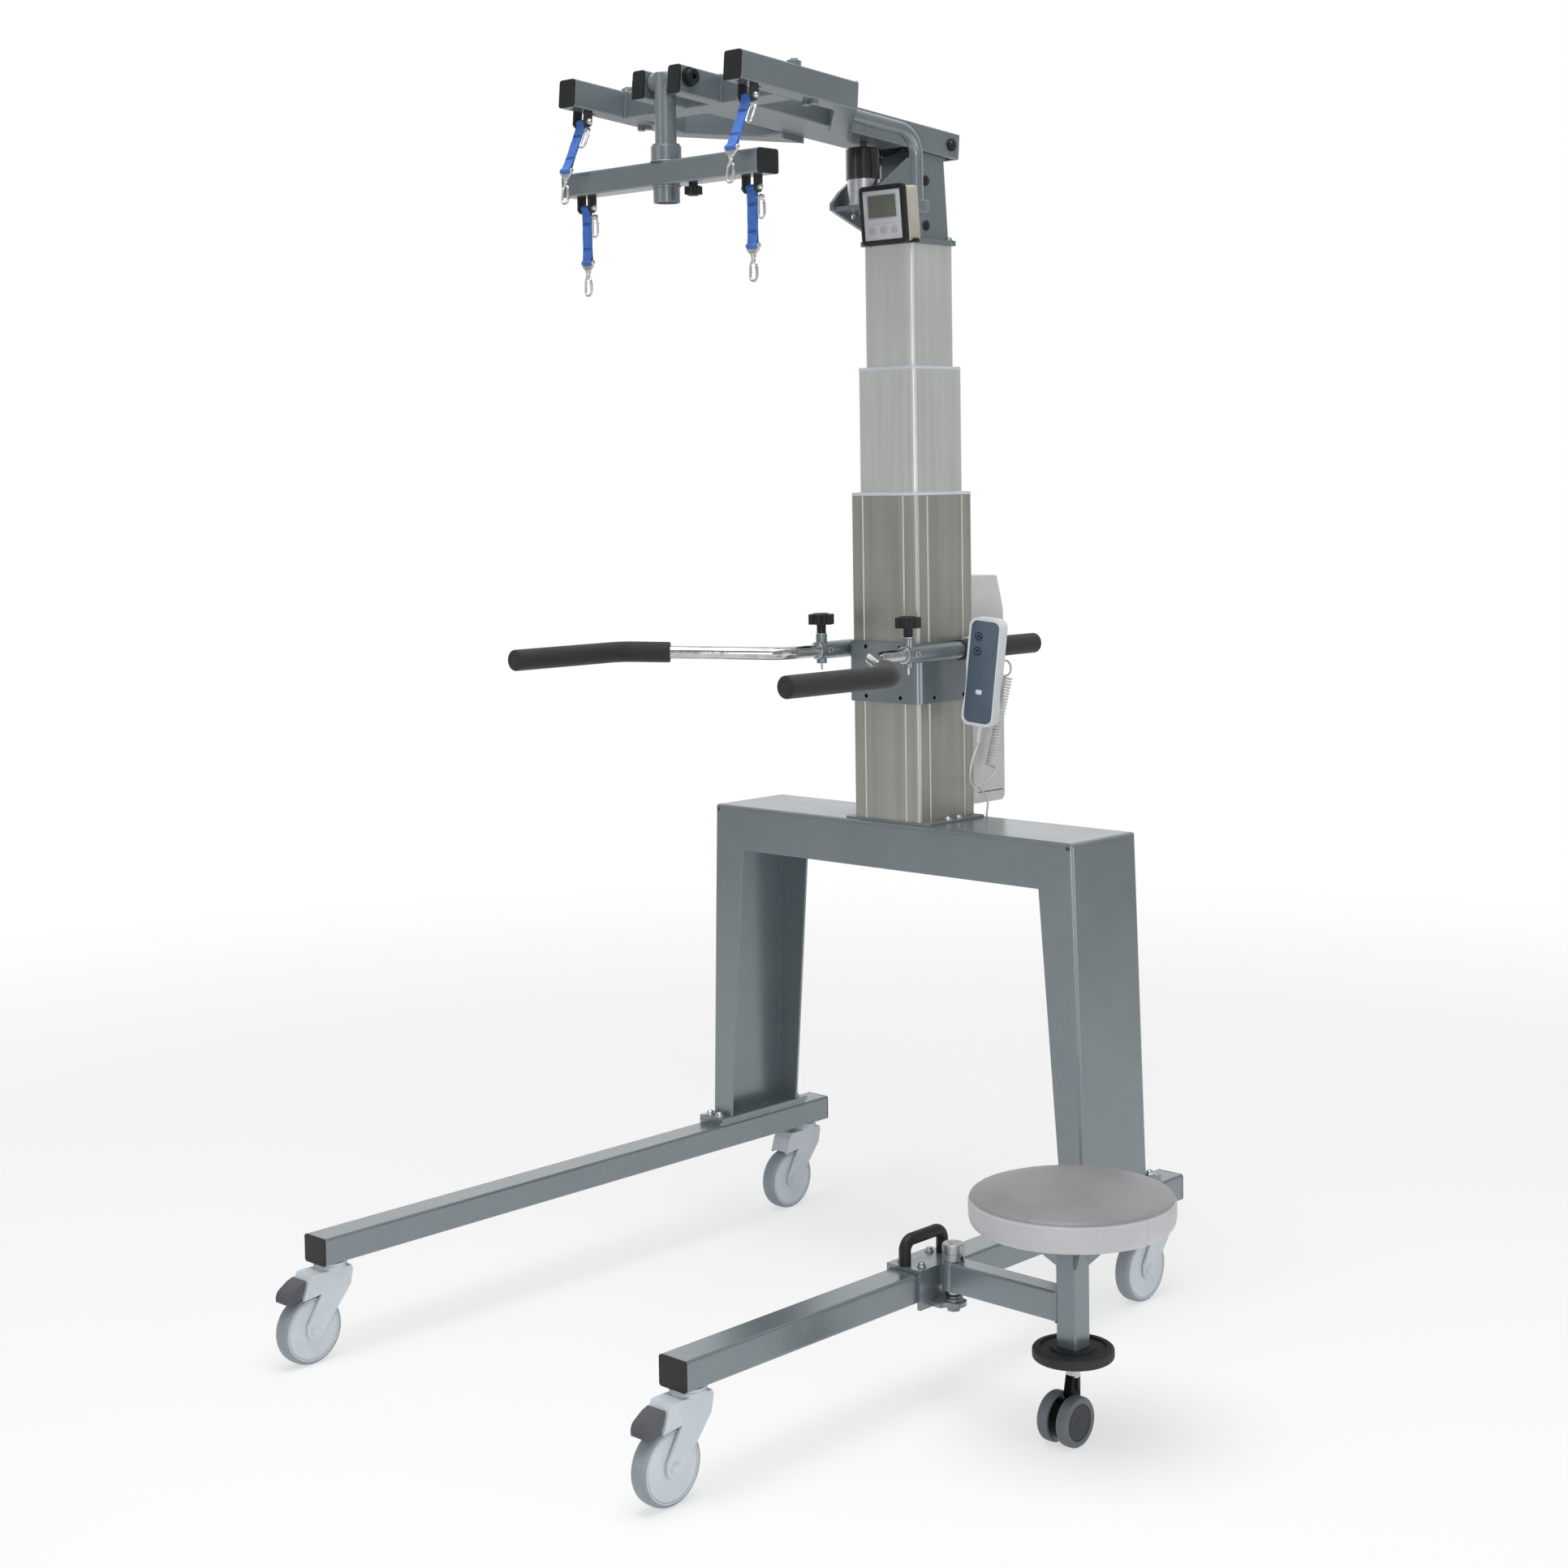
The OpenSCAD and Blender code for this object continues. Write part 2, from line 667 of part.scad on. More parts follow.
// Telescopic column
module stage(w, z, h) {
    translate([0, col_y, z]) linear_extrude(h) difference() {
        round_square(w, w, col_r);
        round_square(w - 2 * col_wall, w - 2 * col_wall, col_r - 4);
    }
}
groove = 52;
groove_w = 3;
module column_outer() {
    color(alloy) gantry() difference() {
        union() {
            stage(col_outer, arch_top, outer_top - arch_top);
            translate([0, col_y, arch_top]) linear_extrude(flange_t) difference() {
                round_square(2 * base_bolt[0] + 20, col_outer + 8, 10);
                round_square(col_outer - col_wall, col_outer - col_wall, col_r);
            }
        }
        for (a = [0, 90, 180, 270], s = [-groove, groove])
            translate([0, col_y, arch_top + flange_t]) rotate([0, 0, a])
            translate([s, col_outer / 2 - groove_w * sqrt(0.5), 0]) rotate([0, 0, 45])
            cube([groove_w, groove_w, outer_top - arch_top]);
        for (x = [-1, 1], y = [-1, 1]) translate([x * base_bolt[0], col_y + y * base_bolt[1], arch_top - past])
            cylinder(d = base_bolt_d + 2 * gap, h = flange_t + 2 * past);
        collar_screw_places() collar_screw_hole();
    }
}
nut_h = 20;
module column_mid() {
    color(alloy) gantry() difference() {
        union() {
            stage(col_mid, mid_top - mid_len, mid_len);
            translate([0, col_y, mid_top - mid_len]) linear_extrude(nut_h)
                round_square(col_mid - col_wall, col_mid - col_wall, col_r);
        }
        translate([0, col_y, mid_top - mid_len - past]) cylinder(d = spindle_d + 2 * run, h = nut_h + 2 * past);
    }
}
module column_inner() { color(alloy) gantry() stage(col_inner, inner_top - inner_len, inner_len); }
module guide_ring(w, inside, z) {
    translate([0, col_y, z]) linear_extrude(ring_h) difference() {
        round_square(w, w, col_r);
        round_square(inside + 2 * gap, inside + 2 * gap, col_r + gap);
    }
    translate([0, col_y, z - ring_skirt]) linear_extrude(ring_skirt + weld) difference() {
        round_square(w - 2 * col_wall - 0.2, w - 2 * col_wall - 0.2, col_r - 4);
        round_square(inside + 2 * gap, inside + 2 * gap, col_r + gap);
    }
}
module guide_ring_outer() { color(pale) gantry() guide_ring(col_outer, col_mid, outer_top); }
module guide_ring_mid() { color(pale) gantry() guide_ring(col_mid, col_inner, mid_top); }
module lift_drive() {
    color("#50555a") gantry() translate([0, col_y, arch_top]) {
        linear_extrude(motor_h - 30) round_square(motor_w, motor_w, 14);
        cylinder(d = motor_w - 16, h = motor_h);
        cylinder(d = spindle_d, h = spindle_top - arch_top);
    }
}

// Head bracket on the inner stage
shelf_z = inner_top + shelf_up;
bracket_z = inner_top + base_t;
ear_r = 18;
module side_plate() {
    difference() {
        union() {
            polygon([[pivot_y + 1, bracket_z - weld], [pivot_y - 11, pivot_z - 32], [pivot_y + 14, pivot_z - 10],
                [pivot_y - 12, pivot_z + 12], [pivot_y - 42, pivot_z - 9], [45, pivot_z - 32], [-48, shelf_z + 30],
                [-71, shelf_z + 7], [-71, shelf_z - 6], [-52, shelf_z - 14], [40, bracket_z + 10], [40, bracket_z - weld]]);
            translate([pivot_y, pivot_z]) circle(ear_r);
        }
        translate([pivot_y, pivot_z]) circle(d = pivot_d + 2 * run);
        translate([95, bracket_z + 113]) circle(8);
        translate([95, bracket_z + 27]) circle(8);
        translate([-11, shelf_z - 15]) circle(6);
    }
}
head_bolt = [58, 55];
module head_bracket() {
    color(paint) gantry() {
        translate([0, col_y, inner_top]) linear_extrude(base_t) round_square(base_w, base_w, 4);
        both_sides() translate([plate_gap / 2, 0, 0]) rotate([90, 0, 90]) linear_extrude(plate_t) side_plate();
        difference() {
            translate([-plate_gap / 2 - weld, -66, shelf_z - plate_t]) cube([plate_gap + 2 * weld, 100, plate_t]);
            translate([0, -spring_front, shelf_z - 20]) cylinder(d = 12, h = 40);
        }
        for (x = [-1, 1], y = [-1, 1]) translate([x * head_bolt[0], col_y + y * head_bolt[1], bracket_z - weld])
            dome_bolt(7);
    }
}
// Spring unit: bright body on the shelf, black sleeve over it
module spring_body() {
    color(chrome) gantry() translate([0, -spring_front, shelf_z]) {
        cylinder(d = spring_body_d, h = spring_show + 18);
        cylinder(d = spring_body_d + 4, h = 6);
        translate([0, 0, -plate_t - 8]) cylinder(d = 11.4, h = plate_t + 8 + weld);
        translate([0, 0, -plate_t - 8]) cylinder(d = 20, h = 8, $fn = 6);
    }
}
boom_low = pivot_z + (pivot_y + spring_front) * tan(boom_tilt) - boom_h / 2 / cos(boom_tilt);
module spring_sleeve() {
    color(black) gantry() translate([0, -spring_front, shelf_z + spring_show]) {
        difference() {
            union() {
                cylinder(d = spring_d, h = sleeve_h - 3);
                cylinder(d = spring_d - 6, h = sleeve_h);
            }
            translate([0, 0, -past]) cylinder(d = spring_body_d + 2 * run, h = sleeve_h - 8 + past);
        }
        cylinder_from(sleeve_h - past, boom_low - 1.2 - shelf_z - spring_show, 14);
    }
}
module cylinder_from(z0, z1, d) { translate([0, 0, z0]) cylinder(d = d, h = z1 - z0); }

// Boom frame, drawn level about the pivot and tilted into place
module boom_pose() {
    gantry() translate([0, pivot_y, pivot_z]) rotate([-boom_tilt, 0, 0]) children();
}
module tube_along_y(x, z, y0, l, w, h, wall) {
    translate([x, y0, z]) rotate([-90, 0, 0]) linear_extrude(l) tube_outline(w, h, wall, 4);
}
bolt_up = 5;
back_y = arm_y + arm_len;
brace_l = arm_x + tube_w / 2 - boom_w / 2;
brace_w = tube_w * sqrt(2);
disp_tz = -20;
disp_corner = (-disp_tube_front - pivot_y - disp_tz * sin(boom_tilt)) / cos(boom_tilt);
disp_t = disp_bend * tan((90 - boom_tilt) / 2);
disp_from = back_y + arm_x + tube_w / 2 - disp_tube_x - 12;
disp_z = inner_top + disp_up;
disp_corner_z = pivot_z - disp_corner * sin(boom_tilt) + disp_tz * cos(boom_tilt);
module lug() {
    for (s = [-1, 1]) translate([s * (web_w / 2 + 1 + lug_t / 2), 0, 0]) rotate([90, 0, 90])
        linear_extrude(lug_t, center = true) {
            circle(9);
            translate([-9, 0]) square([18, pin_drop + weld]);
        }
    along_x(pin_d, lug_w + 4);
    for (s = [-1, 1]) translate([s * (lug_w / 2 + 2), 0, 0]) sphere(d = 12);
}
module boom_frame() {
    color(paint) {
        boom_pose() {
            difference() {
                union() {
                    tube_along_y(0, 0, -boom_reach, boom_reach + boom_tail, boom_w, boom_h, boom_wall);
                    for (y = [-boom_reach - weld, boom_tail - boom_wall])
                        translate([-boom_w / 2 + 2, y, -boom_h / 2 + 2]) cube([boom_w - 4, boom_wall, boom_h - 4]);
                }
                translate([2 - boom_in, -130, -boom_h]) cube([2 * boom_in - 4, 129 + boom_tail - boom_wall, boom_h - 10]);
                along_x(pivot_d + 0.2, boom_w + 2);
            }
            translate([0, cross_y + cross_d / 2, tube_z]) rotate([90, 0, 90])
                linear_extrude(2 * arm_x - tube_w + 2 * weld, center = true) tube_outline(cross_d, tube_h, boom_wall, 4);
            both_sides() {
                difference() {
                    tube_along_y(arm_x, tube_z, arm_y, arm_len, tube_w, tube_h, 4);
                    for (y = [lug_y - 28, lug_y + 16]) translate([arm_x - 4, y, tube_z - tube_h / 2 - past])
                        cube([8, 14, 8]);
                }
                translate([arm_x - tube_w / 2 + 2, back_y - 4, tube_z - tube_h / 2 + 2])
                    cube([tube_w - 4, 4, tube_h - 4]);
                difference() {
                    tube_along_y(clevis_x, tube_z, cross_y - clevis_l, clevis_l + weld, clevis_w, tube_h, 4);
                    translate([clevis_x, bolt_y, tube_z + bolt_up]) along_x(clevis_d + 0.2, clevis_w + 2);
                }
                translate([0, 0, tube_z - tube_h / 2]) linear_extrude(tube_h) polygon([
                    [arm_x + tube_w / 2 - 2, back_y - weld], [boom_w / 2 - weld, back_y + brace_l - 2],
                    [boom_w / 2 - weld, back_y + brace_l - brace_w],
                    [arm_x - tube_w / 2 + 5, back_y + tube_w - 5 - brace_w]]);
                translate([arm_x, cross_y + cross_d / 2, tube_z + tube_h / 2 - weld]) {
                    cylinder(d = 26, h = 10 + weld);
                    cylinder(d = 14, h = 14 + weld);
                }
                for (x = [-9, 9]) translate([arm_x + x, cross_y + cross_d + 20, tube_z - tube_h / 2 - 7])
                    cylinder(d = 15, h = 7 + weld, $fn = 6);
                translate([arm_x, lug_y, tube_z - tube_h / 2 - pin_drop]) lug();
            }
            translate([disp_tube_x, disp_from, disp_tz]) {
                along_y(disp_tube_d, disp_corner - disp_t - disp_from - 0.2);
                translate([0, disp_corner - disp_t - disp_from - 0.7, 0]) along_y(disp_tube_d + 0.2, 1.4);
            }
            translate([disp_tube_x, disp_corner - disp_t, disp_tz - disp_bend]) rotate([90, 0, 90])
                rotate([0, 0, boom_tilt]) rotate_extrude(angle = 90 - boom_tilt) translate([disp_bend, 0]) circle(d = disp_tube_d);
        }
        gantry() translate([disp_tube_x, -disp_tube_front, disp_z]) {
            cylinder(d = disp_tube_d, h = disp_corner_z - disp_t - disp_z - 0.2);
            translate([0, 0, disp_corner_z - disp_t - disp_z - 0.7]) cylinder(d = disp_tube_d + 0.2, h = 1.4);
        }
    }
}
module frame_plugs() {
    color(black) boom_pose() both_sides() {
        translate([arm_x, arm_y, tube_z]) rotate([90, 0, 0]) end_plug(tube_w, tube_h, 4, 15);
        translate([clevis_x, cross_y - clevis_l, tube_z]) rotate([90, 0, 0]) end_plug(clevis_w, tube_h, 4, 6);
    }
}
// Pivot pin with its caps, clevis bolt with washers
ear_out = plate_gap / 2 + plate_t;
washer_t = 2.6;
module boom_pins() {
    color(black) {
        boom_pose() {
            along_x(pivot_d, boom_w + 1);
            both_sides() {
                translate([boom_w / 2, 0, 0]) rotate([0, 90, 0]) {
                    cylinder(d = 24, h = 4);
                    cylinder(d1 = 22, d2 = 14, h = 8);
                }
                translate([(ear_out + gap + boom_in) / 2, 0, 0]) along_x(32, boom_in - ear_out - gap - 0.1);
            }
            translate([0, bolt_y, tube_z + bolt_up]) {
                along_x(clevis_d, clevis_gap + 2 * clevis_w + 14);
                translate([clevis_gap / 2 + clevis_w, 0, 0]) rotate([0, 90, 0]) {
                    cylinder(d = 34, h = 3);
                    difference() {
                        cylinder(d = 26, h = 14);
                        translate([0, 0, 8]) cylinder(d = 12, h = 10, $fn = 6);
                    }
                }
                translate([-clevis_gap / 2 - clevis_w - 12, 0, 0]) rotate([0, 90, 0]) {
                    cylinder(d = 27, h = 10, $fn = 6);
                    translate([0, 0, 9]) cylinder(d = 34, h = 3);
                }
                both_sides() translate([clevis_gap / 2 - washer_t / 2, 0, 0]) along_x(30, washer_t);
            }
        }
    }
}

// Hanger tube with its cross bush and the flange that carries the lift bar
hang_z = pivot_z - bolt_y * sin(boom_tilt) + (tube_z + bolt_up) * cos(boom_tilt);
hang_y = pivot_y + bolt_y * cos(boom_tilt) + (tube_z + bolt_up) * sin(boom_tilt);
bush_l = clevis_gap - 2 * washer_t - 2 * gap;
flange_d = 41;
module hanger_tube() {
    color(paint) gantry() translate([0, hang_y, hang_z]) difference() {
        union() {
            translate([0, 0, -hanger_l]) cylinder(d = hanger_d, h = hanger_l + 14);
            translate([0, 0, -hanger_l]) cylinder(d = flange_d, h = 8);
            along_x(34, bush_l);
        }
        along_x(clevis_d + 2 * run, bush_l + 2);
        translate([0, 0, -hanger_l - past]) cylinder(d = hanger_d - 8, h = hanger_l - 24);
    }
}
// Lift bar with swivel collar, stub and strap lugs
bar_up = hang_z - bar_drop;
bar_under = bar_up - bar_h;
module lift_bar() {
    color(paint) gantry() translate([0, hang_y, 0]) {
        difference() {
            union() {
                translate([0, 0, bar_up - bar_h / 2]) rotate([90, 0, 90])
                    linear_extrude(bar_l, center = true) tube_outline(bar_w, bar_h, 4, 5);
                cylinder_from(bar_up - weld, bar_up + swivel_h - 4, swivel_d);
                cylinder_from(bar_up - weld, bar_up + swivel_h, swivel_d - 5);
                cylinder_from(bar_under - stub_h, bar_up, stub_d);
            }
            cylinder_from(bar_under - stub_h - past, bar_up + swivel_h + past, hanger_d + 2 * run);
            cylinder_from(bar_under - stub_h - past, hang_z - hanger_l + 8 + gap, flange_d + 2 * gap);
            translate([lock_x, 0, bar_under - past]) cylinder(d = 8 + 2 * run, h = 8);
        }
        both_sides() translate([arm_x, 0, bar_under - pin_drop]) lug();
    }
}
module bar_plugs() {
    color(black) gantry() both_sides() translate([bar_l / 2, hang_y, bar_up - bar_h / 2])
        rotate([90, 0, 90]) end_plug(bar_w, bar_h, 4, 14);
}
// Lobed knob, standing on z = 0
module lobed_knob(d, h) {
    linear_extrude(h) {
        circle(d = 0.78 * d);
        for (a = [0 : 60 : 300]) rotate([0, 0, a]) translate([0.38 * d, 0]) circle(d = 0.24 * d);
    }
    translate([0, 0, h - weld]) cylinder(d1 = 0.7 * d, d2 = 0.55 * d, h = 2.5);
}
module bar_knob() {
    color(black) gantry() translate([lock_x, hang_y, bar_under]) mirror([0, 0, 1]) {
        translate([0, 0, 6]) lobed_knob(32, 14);
        translate([0, 0, -8]) cylinder(d = 8, h = 15);
        translate([0, 0, gap]) cylinder(d = 16, h = 7);
    }
}

// Webbing straps with a spare snap hook, drawn hanging from the upper pin
eye_d = pin_d + 2 * gap + web_t + 0.6;
module snap_ring(w, h, d) {
    r = (w - d) / 2;
    for (s = [-1, 1]) translate([s * r, 0, -h + w / 2]) cylinder(d = s > 0 ? d + 1.4 : d, h = h - w);
    translate([0, 0, -w / 2]) rotate([90, 0, 0]) rotate_extrude(angle = 180) translate([r, 0]) circle(d = d);
    translate([0, 0, -h + w / 2]) rotate([-90, 0, 0]) rotate_extrude(angle = 180) translate([r, 0]) circle(d = d);
}
module strap_shape() {
    difference() {
        union() {
            for (z = [0, -strap_l]) translate([0, 0, z]) along_x(eye_d, web_w);
            translate([-web_w / 2, -web_t / 2, -strap_l]) cube([web_w, web_t, strap_l]);
            translate([-web_w / 2, -web_t / 2 - 1, -36]) cube([web_w, web_t + 2, 26]);
        }
        for (z = [0, -strap_l]) translate([0, 0, z]) along_x(pin_d + 2 * gap, web_w + 2);
    }
    translate([web_w / 2 + 3, 0, -20]) along_x(4, 20);
    translate([web_w / 2 + 10, 0, -16]) {
        sphere(d = 9);
        translate([0, 0, -3]) snap_ring(17, 38, 4);
    }
}
module hook_shape() {
    along_x(pin_d, web_w + 8);
    for (s = [-1, 1]) translate([s * (web_w / 2 + 2.2), 0, 0]) rotate([90, 0, 90])
        linear_extrude(3, center = true) {
            circle(6);
            translate([-4, -14]) square([8, 14]);
        }
    translate([-web_w / 2 - 3.7, -4, -17]) cube([web_w + 7.4, 8, 5]);
    translate([0, 0, -26]) cylinder(d = 10, h = 10);
    translate([0, 0, -25]) snap_ring(hook_w, hook_l - 25, wire_d);
}
// Place of an upper or a lower strap's pin
module strap_pose(x, upper) {
    gantry() translate(upper ? [x, upper_y, upper_z] : [x, hang_y, bar_under - pin_drop])
        rotate([upper ? -upper_lean : 0, 0, 0]) children();
}
module hook_pose(x, upper) {
    strap_pose(x, upper) translate([0, 0, -strap_l]) rotate([upper ? upper_lean - hook_lean : 0, 0, 0]) children();
}
module strap_ul() { color(blue) strap_pose(-arm_x, true) strap_shape(); }
module strap_ur() { color(blue) strap_pose(arm_x, true) strap_shape(); }
module strap_ll() { color(blue) strap_pose(-arm_x, false) strap_shape(); }
module strap_lr() { color(blue) strap_pose(arm_x, false) strap_shape(); }
module hook_ul() { color(chrome) hook_pose(-arm_x, true) hook_shape(); }
module hook_ur() { color(chrome) hook_pose(arm_x, true) hook_shape(); }
module hook_ll() { color(chrome) hook_pose(-arm_x, false) hook_shape(); }
module hook_lr() { color(chrome) hook_pose(arm_x, false) hook_shape(); }

// Load display with its bezel, screen recess and membrane keys
bezel_t = 10;
disp_x = disp_tube_x - 33;
disp_y = -disp_tube_front - disp_tube_d / 2 - 2 - disp_d / 2;
module display_housing() {
    color("#b4b09f") gantry() {
        translate([disp_x, disp_y, disp_z]) rotate([disp_tilt, 0, 0]) rotate([90, 0, 0]) difference() {
            union() {
                translate([0, 0, disp_d / 2 - bezel_t]) linear_extrude(bezel_t) round_square(disp_w, disp_h, 9);
                translate([0, 0, -disp_d / 2]) linear_extrude(disp_d) round_square(disp_w - 8, disp_h - 8, 7);
            }
            translate([0, 0, disp_d / 2 - 1.5]) linear_extrude(3) difference() {
                round_square(disp_w - 18, disp_h - 18, 5);
                for (x = [-28, 0, 28]) translate([x, -28]) circle(d = 15);
            }
            translate([0, 16, disp_d / 2 - 3]) linear_extrude(5) round_square(72, 34, 2);
        }
        difference() {
            translate([disp_tube_x - disp_tube_d / 2 - 5, -disp_tube_front - disp_tube_d / 2 - 5, disp_z + 3])
                cube([disp_tube_d + 10, disp_tube_d + 10, 24]);
            translate([disp_tube_x, -disp_tube_front, disp_z]) cylinder(d = disp_tube_d + 0.2, h = 60);
        }
    }
}

// Collar round the outer stage with the two handle sockets
clamp_y = -socket_front + 15;
saddle_y = col_y - 75;
boss_top = socket_z + socket_d / 2 + 14;
module collar() {
    color(paint) gantry() {
        difference() {
            translate([0, col_y, collar_z]) linear_extrude(collar_h) difference() {
                round_square(2 * collar_out, 2 * collar_out, col_r + collar_t);
                round_square(col_outer + 2 * gap, col_outer + 2 * gap, col_r + gap);
            }
            collar_screw_places() collar_screw_hole();
        }
        both_sides() difference() {
            union() {
                translate([socket_x, -socket_front, socket_z]) along_y(socket_d, socket_front + socket_back);
                translate([collar_out - weld, saddle_y, socket_z - 13])
                    cube([socket_x - collar_out, socket_back - sleeve_len - gap - saddle_y, 26]);
                translate([socket_x, clamp_y, 0]) {
                    cylinder_from(socket_z, boss_top, 22);
                    cylinder_from(socket_z - socket_d / 2 - 8, socket_z, 20);
                }
            }
            translate([socket_x, -socket_front - past, socket_z]) along_y(bar_d + 2 * run, socket_front + socket_back + 2 * past);
            translate([socket_x, clamp_y, 0]) cylinder_from(socket_z, boss_top + past, screw_d + 2 * run);
        }
    }
}
module rear_sleeves() {
    color(foam) gantry() both_sides() translate([socket_x, socket_back - sleeve_len, socket_z]) difference() {
        along_y(foam_d, sleeve_len);
        translate([0, -past, 0]) along_y(socket_d + 0.2, sleeve_len + 2 * past);
    }
}
// Handlebars: straight in the socket, bent outwards, then forwards again
pt_b = [0, -bend_one];
pt_c = [grip_x - socket_x, -bend_two];
pt_e = [grip_x - socket_x, -grip_end];
slant = (pt_c - pt_b) / norm(pt_c - pt_b);
bend_a = acos(-slant[1]);
bend_t = bend_r * tan(bend_a / 2);
module bend_arc(d, c, a0) {
    translate([c[0], c[1], 0]) rotate([0, 0, a0]) rotate_extrude(angle = bend_a) translate([bend_r, 0]) circle(d = d);
}
// Straight and bent lengths meet inside a short ring, so that they join as one
seam = 0.2;
module seam_ring(d, p, way) { rod(d + seam, p - way * 0.7, p + way * 0.7); }
module outer_bend(d) {
    bend_arc(d, [pt_c[0] - bend_r, pt_c[1] - bend_t], 0);
    rod(d, [pt_c[0], pt_c[1] - bend_t - seam], pt_e);
    seam_ring(d, [pt_c[0], pt_c[1] - bend_t], [0, -1]);
    seam_ring(d, pt_c - slant * bend_t, slant);
}
module bar_path(d) {
    rod(d, [0, rod_back], [0, -bend_one + bend_t + seam]);
    bend_arc(d, [bend_r, -bend_one + bend_t], 180);
    seam_ring(d, [0, -bend_one + bend_t], [0, -1]);
    seam_ring(d, pt_b + slant * bend_t, slant);
    rod(d, pt_b + slant * (bend_t + seam), pt_c - slant * (bend_t + seam));
    outer_bend(d);
}
module grip_path() {
    difference() {
        union() {
            rod(foam_d, pt_c - slant * foam_lead, pt_c - slant * (bend_t + seam));
            outer_bend(foam_d);
            rod(foam_d - 6, pt_e + [0, 4], pt_e - [0, 8]);
            rod(foam_d - 0.4, pt_e + [0, 4], pt_e - [0, 5]);
        }
        rod(bar_d + 0.2, pt_c - slant * (foam_lead + past), pt_c - slant * (bend_t + seam));
        outer_bend(bar_d + 0.2);
    }
}
module bar_pose(left) {
    gantry() mirror([left ? 1 : 0, 0, 0]) translate([socket_x, 0, socket_z])
        rotate([0, left ? -left_roll : -right_roll, 0]) children();
}
module handlebar_left() { color(chrome) bar_pose(true) bar_path(bar_d); }
module handlebar_right() { color(chrome) bar_pose(false) bar_path(bar_d); }
module grip_left() { color(foam) bar_pose(true) grip_path(); }
module grip_right() { color(foam) bar_pose(false) grip_path(); }
module clamp_knob_at(x) {
    color(black) gantry() translate([x, clamp_y, 0]) {
        cylinder_from(socket_z + bar_d / 2 + gap, boss_top + 22, screw_d);
        cylinder_from(boss_top + gap, boss_top + 21, 18);
        translate([0, 0, boss_top + 20]) lobed_knob(knob_d, knob_h);
    }
}
module clamp_knob_left() { clamp_knob_at(-socket_x); }
module clamp_knob_right() { clamp_knob_at(socket_x); }

// Control box with the battery above it, on the back of the column
box_y = col_y + collar_out + gap;
split_z = 268;
cord_gland = [box_w / 2, 292, 1196];
lead_gland = [box_w / 2, 206, 952];
module control_box() {
    color("#c9cac6") gantry() {
        translate([0, box_y + box_d / 2, box_z]) intersection() {
            linear_extrude(box_h) round_square(box_w, box_d, 10);
            rotate([90, 0, 90]) linear_extrude(box_w + 2, center = true) difference() {
                polygon([[-box_d / 2, 0], [box_d / 2 - 14, 0], [box_d / 2, 16], [box_d / 2, box_h - 90],
                    [box_d / 2 - 26, box_h], [-box_d / 2, box_h]]);
                translate([-box_d / 2 + 14, split_z]) square([box_d, 3]);
                translate([-box_d / 2 + 40, 20]) square([box_d, 2]);
            }
        }
        translate([cord_gland[0] + 3, cord_gland[1], cord_gland[2]]) along_x(13, 10);
        translate([lead_gland[0] + 2, lead_gland[1], lead_gland[2]]) along_x(11, 8);
    }
}
// Handset, resting with its hook on the right foam sleeve
set_off = foam_d / 2 + set_w / 2 * cos(set_turn) + set_d / 2 * sin(set_turn) + set_up * sin(set_lean) + 3;
set_c = [socket_x + set_off, set_y - 9 - set_d / 2 * cos(set_turn), socket_z + set_up];
relief_l = 34;
key_up = [-12, 69];
key_down = [-12, 40];
waist_r = 300;
waist_in = 3;
key_travel = 0.6;
key_deep = 5;
module set_pose() {
    gantry() translate(set_c) rotate([0, 0, set_turn]) rotate([0, set_lean, 0]) children();
}
function set_place(p) = let(x1 = p[0] * cos(set_lean) + p[2] * sin(set_lean),
    z1 = -p[0] * sin(set_lean) + p[2] * cos(set_lean))
    set_c + [x1 * cos(set_turn) - p[1] * sin(set_turn), x1 * sin(set_turn) + p[1] * cos(set_turn), z1];
module handset() {
    color("#d9dbdc") {
        set_pose() {
            difference() {
                rotate([90, 0, 0]) linear_extrude(set_d, center = true) difference() {
                    round_square(set_w, set_h, 17);
                    for (s = [-1, 1]) translate([s * (set_w / 2 + waist_r - waist_in), -30]) circle(waist_r);
                }
                translate([0, -set_d / 2 + 1, 0]) rotate([90, 0, 0]) linear_extrude(3) round_square(set_w - 9, set_h - 12, 13);
                for (k = [key_up, key_down]) translate([k[0], -set_d / 2 - past, k[1]])
                    along_y(key_d + 2 * run, key_deep + key_travel + past + 0.4);
            }
            translate([0, 0, -set_h / 2 - relief_l]) cylinder(d1 = 7, d2 = 11, h = relief_l + 2);
        }
        gantry() {
            translate([socket_x, set_y + 9, socket_z]) rotate([90, 0, 0]) rotate_extrude(angle = 125)
                translate([foam_d / 2 + gap, 0]) square([4, 18]);
            translate([socket_x + foam_d / 2 + gap, set_c[1] + 2, socket_z - 14]) cube([9, set_y + 9 - set_c[1] - 2, 16]);
        }
    }
}
module key_at(k) {
    set_pose() translate([k[0], -set_d / 2 - 0.8, k[1]]) along_y(key_d, key_deep + 0.8);
}
module handset_up_key() { color("#55708f") key_at(key_up); }
module handset_down_key() { color("#55708f") key_at(key_down); }

